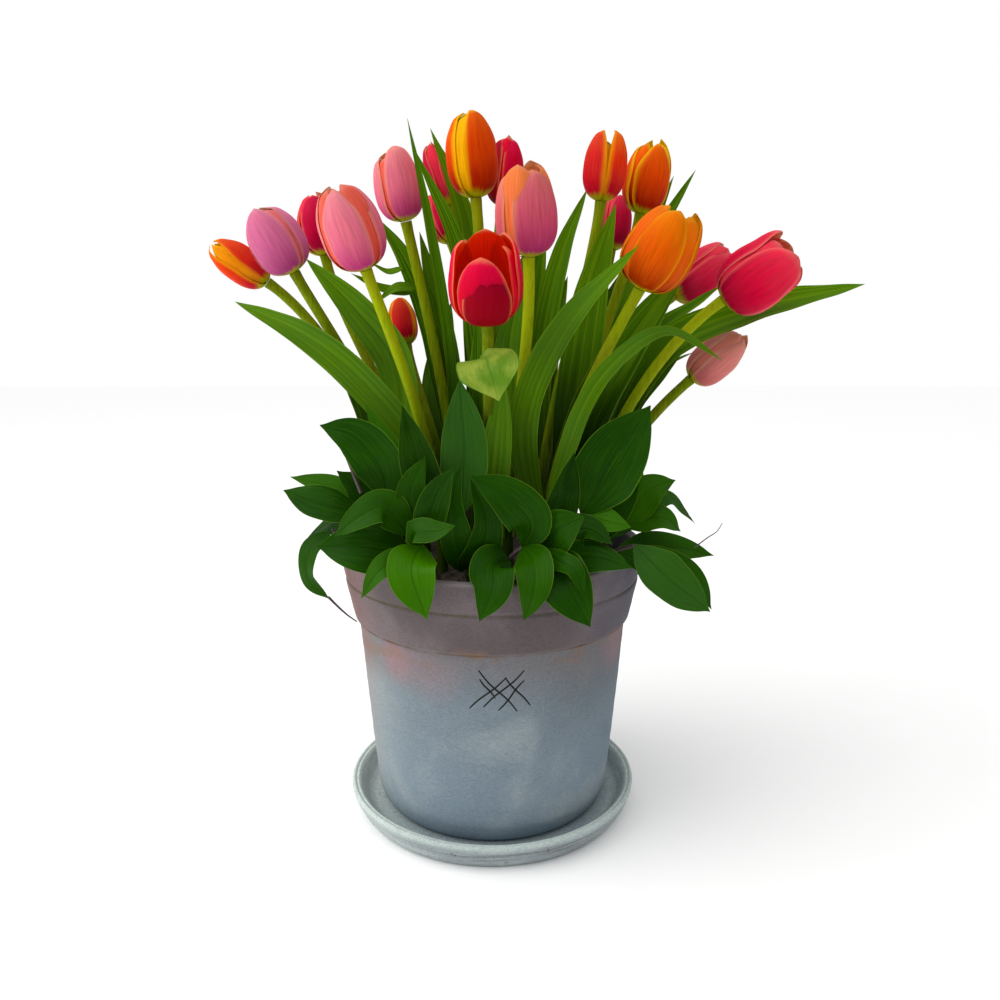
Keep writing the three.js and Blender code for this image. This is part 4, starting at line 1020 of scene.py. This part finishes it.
def twig_skin():
    """The collar's twigs: brown, with purple at the thin ends."""
    g = Graph("twig")
    grain = g.noise(g.place(), 300.0, 3.0, 0.6)
    colour = g.over(
        (0.055, 0.06, 0.018),
        ((0.13, 0.12, 0.05), 1.0, grain, 0.3, 0.7),
        ((0.075, 0.035, 0.06), 0.8, g.value("along"), 0.3, 1.0))
    return g.finish(Base_Color=colour, Roughness=g.ease(grain, 0.3, 0.7, 0.45, 0.62),
                    Normal=g.bump(grain, 0.3, 0.6))


def anther_skin():
    """The pollen bags and their stalks."""
    g = Graph("anther")
    grain = g.noise(g.place(), 900.0, 2.0)
    colour = g.over(
        (0.020, 0.012, 0.030),
        ((0.10, 0.075, 0.05), 1.0, grain, 0.3, 0.7),
        ((0.34, 0.36, 0.10), 1.0, g.value("tint"), 0.9, 0.5))
    return g.finish(Base_Color=colour, Roughness=g.ease(grain, 0.3, 0.7, 0.6, 0.8),
                    Normal=g.bump(grain, 0.2, 0.6))


def clay_tone(g):
    """What pot and saucer share: soft clouds, short swirling brush strokes and fine pores."""
    at = g.place()
    clouds = g.noise(at, 15.0, 3.0, 0.5, 0.4)
    x, y, z = g.split(g.bent(at, 42.0, 0.022))[:3]
    curls = g.noise(g.join((x, 340.0), (y, 340.0), (z, 1050.0)), 1.0, 2.0, 0.6)
    grain = g.noise(at, 800.0, 2.0, 0.6)
    pores = g.ease(g.noise(at, 620.0, 3.0, 0.5), 0.27, 0.33, 1.0, 0.0)
    return at, clouds, curls, grain, pores


def blob(g, at, centre, inner, outer, ragged):
    """1 near the centre, fading out unevenly between two distances in millimetres."""
    far = g.node("ShaderNodeVectorMath", operation="DISTANCE")
    g.put(far.inputs[0], at)
    g.put(far.inputs[1], tuple(value * MM for value in centre))
    reach = g.add(far.outputs["Value"], g.times(ragged, outer * MM))
    return g.ease(reach, inner * MM, outer * MM, 1.0, 0.0)


def band(g, z, middle, half):
    """1 near a height in millimetres, fading to 0 at `half` millimetres above and below it."""
    off = g.math("ABSOLUTE", g.add(z, -middle * MM))
    return g.ease(off, half * MM * 0.25, half * MM, 1.0, 0.0)


def pot_skin():
    """Whitewashed clay: blue-grey below, mauve on the collar, bare pink clay where it is worn, with painted
    light on the left side and painted shade on the right and round the foot.
    """
    g = Graph("pot_clay")
    at, clouds, curls, grain, pores = clay_tone(g)
    x, _, z = g.split(at)[:3]
    uneven = g.add(clouds, -0.5)
    level = g.add(z, (uneven, 0.05))
    under = g.ease(level, 0.125, 0.172)
    worn = g.ease(g.noise(at, 8.0, 3.0, 0.5), 0.52, 0.66)
    rust = g.ease(g.noise(at, 17.0, 3.0, 0.6), 0.40, 0.58, 0.25, 1.0)
    tone = g.ease(g.add((curls, 0.65), (grain, 0.35)), 0.38, 0.62, 0.90, 1.12)
    collar_wash_and_shade = g.over(
        srgb(92, 83, 85),
        (srgb(112, 101, 103), 1.0, clouds, 0.35, 0.65),
        # painted shade: the collar's right side darker and bluer, away from the light
        (srgb(92, 94, 108), 0.6, x, 0.05, 0.125))
    colour = g.over(
        srgb(116, 132, 144),
        (srgb(116, 128, 136), 1.0, level, 0.02, 0.15),
        (srgb(136, 148, 154), 1.0, clouds, 0.48, 0.72),
        (srgb(98, 112, 124), 0.5, clouds, 0.45, 0.25),
        # painted light: the left side of the pot lighter, where the light falls on it
        (srgb(158, 168, 166), 0.55, x, -0.055, -0.112),
        # painted shade: the body's right side darker above 0.09 m, away from the light
        (srgb(86, 92, 98), g.times(g.ease(x, 0.02, 0.075), g.ease(z, 0.09, 0.15), 0.45)),
        (srgb(112, 106, 107), g.times(under, 0.75)),
        (srgb(124, 98, 97), g.times(under, worn, 0.4)),
        *((srgb(146, 116, 120), g.times(blob(g, at, centre, inner, outer, uneven), share))
          for centre, inner, outer, share in PINK_PATCHES),
        (collar_wash_and_shade, 1.0, z, (COLLAR_Z + 0.5) * MM, (COLLAR_Z + 3) * MM),
        # paler pink on the pot's left flank: partly the clay's pink tint, partly painted light where the
        # light falls
        (srgb(152, 108, 102), 0.5, x, -0.085, -0.126),
        (srgb(88, 58, 28), g.times(band(g, z, COLLAR_Z + 0.1, 2.2), rust, 0.9)),
        (srgb(134, 102, 78), g.times(band(g, level, COLLAR_Z - 8, 9), g.ease(rust, 0.5, 1.0), 0.35)),
        (srgb(72, 72, 38), g.times(band(g, z, GROOVE_Z - 0.8, 1.6), rust, 0.7)))
    colour = g.over(
        g.shade(colour, tone),
        (srgb(70, 76, 80), g.times(pores, 0.3)),
        (srgb(160, 154, 152), 0.35, z, (POT_H - 3) * MM, POT_H * MM),
        # painted shade: darker round the foot, where the pot stands in the saucer
        (srgb(52, 62, 70), 0.6, z, (POT_FOOT_Z + 6) * MM, (POT_FOOT_Z + 1) * MM),
        (srgb(18, 22, 16), 1.0, g.value("mark"), 0.2, 0.7))
    height = g.add((curls, 0.9), (grain, 0.4), (pores, -0.6), (clouds, 0.4))
    return g.finish(Base_Color=colour, Roughness=g.ease(curls, 0.3, 0.7, 0.72, 0.88),
                    Specular_IOR_Level=0.2, Normal=g.bump(height, 0.4, 0.5))


def saucer_skin():
    """The saucer's whitewash: a lip made pale by a painted highlight, painted light on the left and painted
    shade inside round the pot, brushed brown-grey streaks and dark specks outside.
    """
    g = Graph("saucer_clay")
    at, clouds, curls, grain, pores = clay_tone(g)
    x, y, z = g.split(at)[:3]
    rings = g.noise(g.join((x, 14.0), (y, 14.0), (z, 420.0)), 1.0, 4.0, 0.65)
    reach = g.math("SQRT", g.add(g.times(x, x), g.times(y, y)))
    hollow_shade = g.ease(reach, (SAUCER_R - 16) * MM, (SAUCER_R - 24) * MM)
    side = g.ease(z, (SAUCER_H - 3) * MM, (SAUCER_H - 9) * MM)
    side = g.times(side, g.ease(reach, (SAUCER_R - 10) * MM, (SAUCER_R - 6) * MM))
    top = g.ease(z, (SAUCER_H - 5.5) * MM, (SAUCER_H - 1.5) * MM)
    specks = g.ease(g.noise(at, 85.0, 3.0, 0.7), 0.66, 0.72)
    tone = g.ease(g.add((curls, 0.6), (grain, 0.4)), 0.38, 0.62, 0.86, 1.14)
    colour = g.over(
        srgb(150, 162, 164),
        (srgb(168, 180, 180), 1.0, clouds, 0.35, 0.65),
        # painted shade: darker and bluer inside the saucer round the pot's foot
        (srgb(122, 136, 144), g.times(hollow_shade, 0.6)),
        (srgb(138, 146, 150), g.times(side, 0.6)),
        (srgb(92, 92, 90), g.times(side, g.ease(rings, 0.48, 0.64), 0.6)),
        (srgb(184, 194, 196), g.times(side, g.ease(rings, 0.48, 0.32), 0.7)),
        # painted highlight: the top of the lip lighter
        (srgb(176, 189, 185), g.times(top, 0.85)),
        # painted light: lighter on the left side, where the light falls
        (srgb(206, 217, 211), 0.5, x, -0.03, -0.12),
        (srgb(48, 46, 42), g.times(specks, side, 0.8)))
    colour = g.over(g.shade(colour, tone), (srgb(70, 74, 74), g.times(pores, 0.4)))
    height = g.add((curls, 0.8), (rings, 0.8), (grain, 0.4), (specks, -1.2))
    return g.finish(Base_Color=colour, Roughness=g.ease(curls, 0.3, 0.7, 0.66, 0.84),
                    Specular_IOR_Level=0.25, Normal=g.bump(height, 0.6, 0.6))


def soil_skin():
    """Dark, damp potting soil."""
    g = Graph("potting_soil")
    at = g.place()
    lumps = g.noise(at, 120.0, 4.0, 0.65)
    fibre = g.noise(at, 520.0, 3.0, 0.7, 1.0)
    colour = g.over(
        (0.008, 0.005, 0.003),
        ((0.045, 0.028, 0.016), 1.0, lumps, 0.3, 0.7),
        ((0.11, 0.075, 0.045), 0.6, fibre, 0.6, 0.75))
    height = g.add(lumps, (fibre, 0.5))
    return g.finish(Base_Color=colour, Roughness=g.ease(lumps, 0.3, 0.7, 0.75, 0.95),
                    Normal=g.bump(height, 1.0, 0.8))


def floor_skin():
    """The studio floor: plain and pale."""
    g = Graph("studio_floor")
    speck = g.noise(g.place(), 40.0, 2.0)
    colour = g.mix(speck, (0.965, 0.965, 0.965), (0.98, 0.98, 0.98))
    return g.finish(Base_Color=colour, Roughness=g.ease(speck, 0.0, 1.0, 0.85, 0.95),
                    Specular_IOR_Level=0.1)


# ------------------------------------------------------------------ pot, saucer and soil
def rounded(corners, step):
    """A profile through (r, z, rounding) corners as points about `step` apart."""
    points = [np.array(corner[:2], dtype=float) for corner in corners]
    line = [points[0]]
    for i in range(1, len(corners) - 1):
        before, here, after = points[i - 1:i + 2]
        way_in, way_out = unit(before - here), unit(after - here)
        room = min(np.linalg.norm(before - here), np.linalg.norm(after - here)) * 0.48
        cut = min(corners[i][2], room)
        if cut <= 0:
            line.append(here)
            continue
        for t in np.linspace(0, 1, 6):
            line.append((1 - t) ** 2 * (here + way_in * cut) + 2 * t * (1 - t) * here
                        + t * t * (here + way_out * cut))
    line.append(points[-1])
    dense = []
    for a, b in zip(line[:-1], line[1:]):
        count = max(1, int(math.ceil(np.linalg.norm(b - a) / step(a, b))))
        dense += [a + (b - a) * k / count for k in range(count)]
    dense.append(line[-1])
    return np.array(dense)


def lathe(shape, profile, turn, dent):
    """Turns the profile about Z at the given bearings, pushed out by dent, and closes it at the axis."""
    ring = profile[1:-1]
    normal = unit(np.gradient(ring, axis=0))[:, ::-1] * arr(1, -1)
    r, z = ring[:, :1], ring[:, 1:]
    push = dent(r, z, turn[None, :])
    rr = r + normal[:, :1] * push
    zz = z + normal[:, 1:] * push
    points = np.stack([rr * np.cos(turn), rr * np.sin(turn), zz + 0 * turn], axis=-1).reshape(-1, 3)
    rows, cols = len(ring), len(turn)
    ends = np.array([[0, 0, profile[0, 1]], [0, 0, profile[-1, 1]]])
    shape.add(np.vstack([points, ends]), grid_faces(rows, cols, wrap=True), cap_faces(rows, cols))
    return points


def mark_strength(x, z):
    """How deep in a stroke of the scratched hatch a point of the pot's front lies, 0 to 1."""
    depth = np.zeros(np.broadcast(x, z).shape)
    for (x0, z0), (x1, z1), sway in MARK_STROKES:
        dx, dz = x1 - x0, z1 - z0
        length = math.hypot(dx, dz)
        t = np.clip(((x - x0) * dx + (z - z0) * dz) / length ** 2, 0, 1)
        bend = sway * np.sin(2 * math.pi * t)
        off = ((x - x0) * dz - (z - z0) * dx) / length - bend
        past = np.hypot(x - (x0 + dx * t), z - (z0 + dz * t))
        off = np.where((t > 0) & (t < 1), np.abs(off), past)
        width = 0.44 + 0.30 * np.sin(math.pi * np.clip(t * 0.8 + 0.12, 0, 1))
        depth = np.maximum(depth, np.exp(-(off / width) ** 2))
    return depth


def pot_turn():
    """Bearings round the pot, close together at the hatch on its front."""
    low, high = (math.radians(-90) + bearing for bearing in MARK_TURN)
    fine = np.arange(low, high, MARK_TURN_STEP)
    rest = np.linspace(fine[-1] + MARK_TURN_STEP, low + 2 * math.pi,
                       int((2 * math.pi - (high - low)) / POT_TURN_STEP), endpoint=False)
    return np.concatenate([fine, rest])


def pot_dent(r, z, turn):
    """Hand-thrown unevenness, and the scratched mark on the front."""
    uneven = (0.16 * np.sin(3 * turn + z * 0.021) + 0.12 * np.sin(5 * turn - z * 0.043 + 1.3)
              + 0.07 * np.sin(0.37 * z + 2 * turn) + 0.06 * np.sin(11 * turn + 0.13 * z))
    outside = ease(r - (POT_FOOT_R + (z - POT_FOOT_Z) * 0.066), -6, -3) * ease(z, 9, 30)
    front = np.clip(-np.sin(turn), 0, 1) > 0.9
    groove = mark_strength(r * np.cos(turn), z + 0 * turn) * front * (r > BODY_R * 0.92) * (z < COLLAR_Z)
    return uneven * outside - 0.75 * groove


def saucer_dent(r, z, turn):
    """Unevenness of the saucer's rim."""
    return (0.16 * np.sin(2 * turn + 0.6) + 0.12 * np.sin(5 * turn + r * 0.05)
            + 0.05 * np.sin(17 * turn + z)) * ease(r, 100, 118)


def pot_piece():
    corners = [(0, POT_FOOT_Z, 0), (POT_FOOT_R, POT_FOOT_Z, 2), (97, 12, 3), (101, 18, 4), (103, 25, 6),
               (111.61, MARK_LOW, 0), (114.84, MARK_HIGH, 0), (BODY_R, 177.5, 0.8),
               (COLLAR_R, COLLAR_Z, 1.2), (120, 184, 2), (125.8, 212, 1.2), (125, GROOVE_Z, 0.8),
               (126.4, 217.5, 1), (129.4, 236, 2), (POT_RIM_R, 238.5, 1.2), (128.8, POT_H, 0.8),
               (121.5, POT_H, 1.4), (120, 237, 1.5), (113, 190, 3), (106, 176, 4), (93.5, 24.3, 3),
               (90, POT_FLOOR_Z, 2), (0, POT_FLOOR_Z, 0)]

    def step(a, b):
        outside = a[0] > 100 and b[1] > a[1]
        if outside and MARK_LOW - 1 < a[1] < b[1] < MARK_HIGH + 1:
            return MARK_STEP
        return 2.0 if outside else 8.0

    profile = rounded(corners, step)
    shape = Shape()
    points = lathe(shape, profile, pot_turn(), pot_dent)
    marks = mark_strength(points[:, 0], points[:, 2]) * (points[:, 1] < -80)
    marks = marks * (np.hypot(points[:, 0], points[:, 1]) > BODY_R * 0.92) * (points[:, 2] < COLLAR_Z)
    piece = shape.build("clay_pot", pot_skin(), soft_edge=70)
    layer = piece.data.attributes.new("mark", "FLOAT", "POINT")
    layer.data.foreach_set("value", np.concatenate([marks, [0, 0]]).astype(np.float32))
    return piece


def saucer_piece():
    corners = [(0, 0, 0), (SAUCER_FOOT_R, 0, 1.5), (117.5, 2, 2), (122, 8.5, 3), (126, 17.5, 3),
               (SAUCER_R, 21.5, 1.6), (126.2, 24, 1), (124.6, SAUCER_H, 0.8), (123, 23.2, 0.8),
               (121.4, 23.8, 0.8), (119.4, 22.2, 1.2), (112.5, 12, 3), (108, SAUCER_FLOOR, 3),
               (0, SAUCER_FLOOR, 0)]
    profile = rounded(corners, lambda a, b: 1.0 if a[0] > 105 else 12.0)
    shape = Shape()
    lathe(shape, profile, full_turn(SAUCER_SIDES), saucer_dent)
    return shape.build("clay_saucer", saucer_skin(), soft_edge=70)


def crumb_points(count):
    """A rough lump of unit size as points on rings with its two poles."""
    rings = [(0.55, 0.8), (1.0, 0.1), (0.6, -0.75)]
    points = [[r * math.cos(a), r * math.sin(a), z] for r, z in rings for a in full_turn(count)]
    return np.array(points + [[0, 0, 1], [0, 0, -1]])


def soil_piece():
    corners = [(0, 19.6, 0), (89.6, 19.6, 0), (93.1, 24.7, 0), (105.6, 176, 0), (112.6, 190, 0),
               (117.2, SOIL_TOP - 0.5, 0.3), (0, SOIL_TOP, 0)]
    profile = rounded(corners, lambda a, b: 2.2 if b[0] < a[0] and a[1] > 200 else 20.0)

    def dent(r, z, turn):
        top = (z > SOIL_TOP - 1) * ease(r, 117, 110)
        return top * (1.4 * np.sin(0.31 * r * np.cos(turn) + 1.7 * np.sin(0.23 * r * np.sin(turn)))
                      + 1.0 * np.sin(0.57 * r * np.sin(turn) + 2.0)
                      + 0.7 * np.sin(0.9 * r * np.cos(turn + 0.6)) - 1.6)

    shape = Shape()
    lathe(shape, profile, full_turn(SOIL_SIDES), dent)
    sides = 7
    lump = crumb_points(sides)
    quads = grid_faces(3, sides, wrap=True)[:, ::-1]
    caps = cap_faces(3, sides)[:, [1, 0, 2]]
    for _ in range(CRUMBS):
        reach = 112 * math.sqrt(RANDOM.random())
        angle = RANDOM.random() * 2 * math.pi
        size = RANDOM.uniform(0.8, 2.6)
        points = lump * RANDOM.uniform(0.75, 1.2, lump.shape) * size * arr(1, 1, 0.75)
        centre = arr(reach * math.cos(angle), reach * math.sin(angle), SOIL_TOP - 0.6)
        shape.add(points + centre, quads, caps)
    return shape.build("potting_soil", soil_skin(), soft_edge=60)


# ------------------------------------------------------------------ collar sprigs
def sprig_piece(sprig, number):
    """A twig with its broad leaves, and a thin bare end on some."""
    shape = Shape()
    root = (*sprig["root"], SOIL_TOP - TWIG_DEPTH), (*sprig["root"], SOIL_TOP + STRAIGHT)
    share = np.linspace(0, 1, 30)
    add_tube(shape, through([*root, *sprig["twig"]]).at(share), TWIG_R * (1.05 - 0.25 * share), sides=10,
             along=share, tint=RANDOM.random())
    if "tendril" in sprig:
        thick = sprig["tendril_r"]
        add_tube(shape, through(sprig["tendril"]).at(np.linspace(0, 1, 24)),
                 np.linspace(thick, thick * 0.45, 24), sides=8, along=np.ones(24))
    shape.part = 1
    for spec in sprig["leaves"]:
        add_leaf(shape, sprig["twig"][spec["at"]], spec, spec["form"] or BROAD_LEAF, rows=36, cols=17)
    return shape.build(f"collar_sprig_{number:02d}", TWIG_SKIN, BROAD_LEAF_SKIN)


# ------------------------------------------------------------------ studio
def add_light(name, kind, where, size, power, colour):
    """A lamp aimed at the foliage: size is the disk's in metres, or a sun's in degrees."""
    lamp = bpy.data.lights.new(name, kind)
    if kind == "AREA":
        lamp.shape = "DISK"
        lamp.size = size
    else:
        lamp.angle = math.radians(size)
    lamp.energy = power
    lamp.color = colour
    rig = bpy.data.objects.new(name, lamp)
    rig.location = where
    rig.rotation_euler = (Vector((0, 0, 0.3)) - Vector(where)).to_track_quat("-Z", "Y").to_euler()
    bpy.context.scene.collection.objects.link(rig)


def studio():
    """The white surroundings, floor, lights and camera."""
    world = bpy.data.worlds.new("soft_white")
    world.use_nodes = True
    back = world.node_tree.nodes["Background"]
    back.inputs["Color"].default_value = (1.0, 1.0, 1.0, 1)
    seen = world.node_tree.nodes.new("ShaderNodeLightPath")
    level = world.node_tree.nodes.new("ShaderNodeMapRange")
    level.inputs["To Min"].default_value = WORLD_LIGHT
    level.inputs["To Max"].default_value = 1.0
    world.node_tree.links.new(seen.outputs["Is Camera Ray"], level.inputs["Value"])
    world.node_tree.links.new(level.outputs["Result"], back.inputs["Strength"])
    bpy.context.scene.world = world
    bpy.ops.mesh.primitive_plane_add(size=8, location=(0, 0, 0))
    floor = bpy.context.object
    floor.name = "studio_floor"
    floor.data.materials.append(floor_skin())
    add_light("key", "AREA", (-1.5, -0.45, 1.15), 1.8, 20, (1.0, 0.985, 0.96))
    add_light("sky", "SUN", (-0.2, -0.3, 1.9), 90, 1.8, (1.0, 1.0, 1.0))
    lens = bpy.data.cameras.new("photo_camera")
    lens.lens = CAMERA_LENS
    lens.sensor_width = 36
    camera = bpy.data.objects.new("photo_camera", lens)
    camera.location = [value * MM for value in CAMERA_AT]
    camera.rotation_euler = (math.radians(90 - CAMERA_DOWN), 0, 0)
    bpy.context.scene.collection.objects.link(camera)
    bpy.context.scene.camera = camera
    bpy.context.scene.view_settings.view_transform = "Standard"


# ------------------------------------------------------------------ assembly
PETAL_SKINS = {name: petal_skin(name) for name in PETAL_LOOKS}
STEM_SKIN = stem_skin()
LONG_LEAF_SKIN = long_leaf_skin()
PALE_LEAF_SKIN = pale_leaf_skin()
BROAD_LEAF_SKIN = broad_leaf_skin()
TWIG_SKIN = twig_skin()
ANTHER_SKIN = anther_skin()


def stand_for(piece, slot, *nodes):
    """The piece rides with the pot and stands for its CAD nodes."""
    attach(piece, BODY)
    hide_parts(*nodes)


stand_for(saucer_piece(), "saucer_clay", "saucer")
stand_for(pot_piece(), "clay", "pot")
stand_for(soil_piece(), "soil", "soil")
for number, tulip in enumerate(TULIPS, 1):
    stand_for(plant_piece(tulip, number), "stem_leaf", f"tulip_plant_{number:02d}")
    petals, heart = bloom_pieces(tulip, number)
    stand_for(petals, f"petal_{tulip['color']}", f"tulip_bloom_{number:02d}")
    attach(heart, BODY)
for number, sprig in enumerate(SPRIGS, 1):
    stand_for(sprig_piece(sprig, number), "broad_leaf", f"leaf_sprig_{number:02d}")

studio()
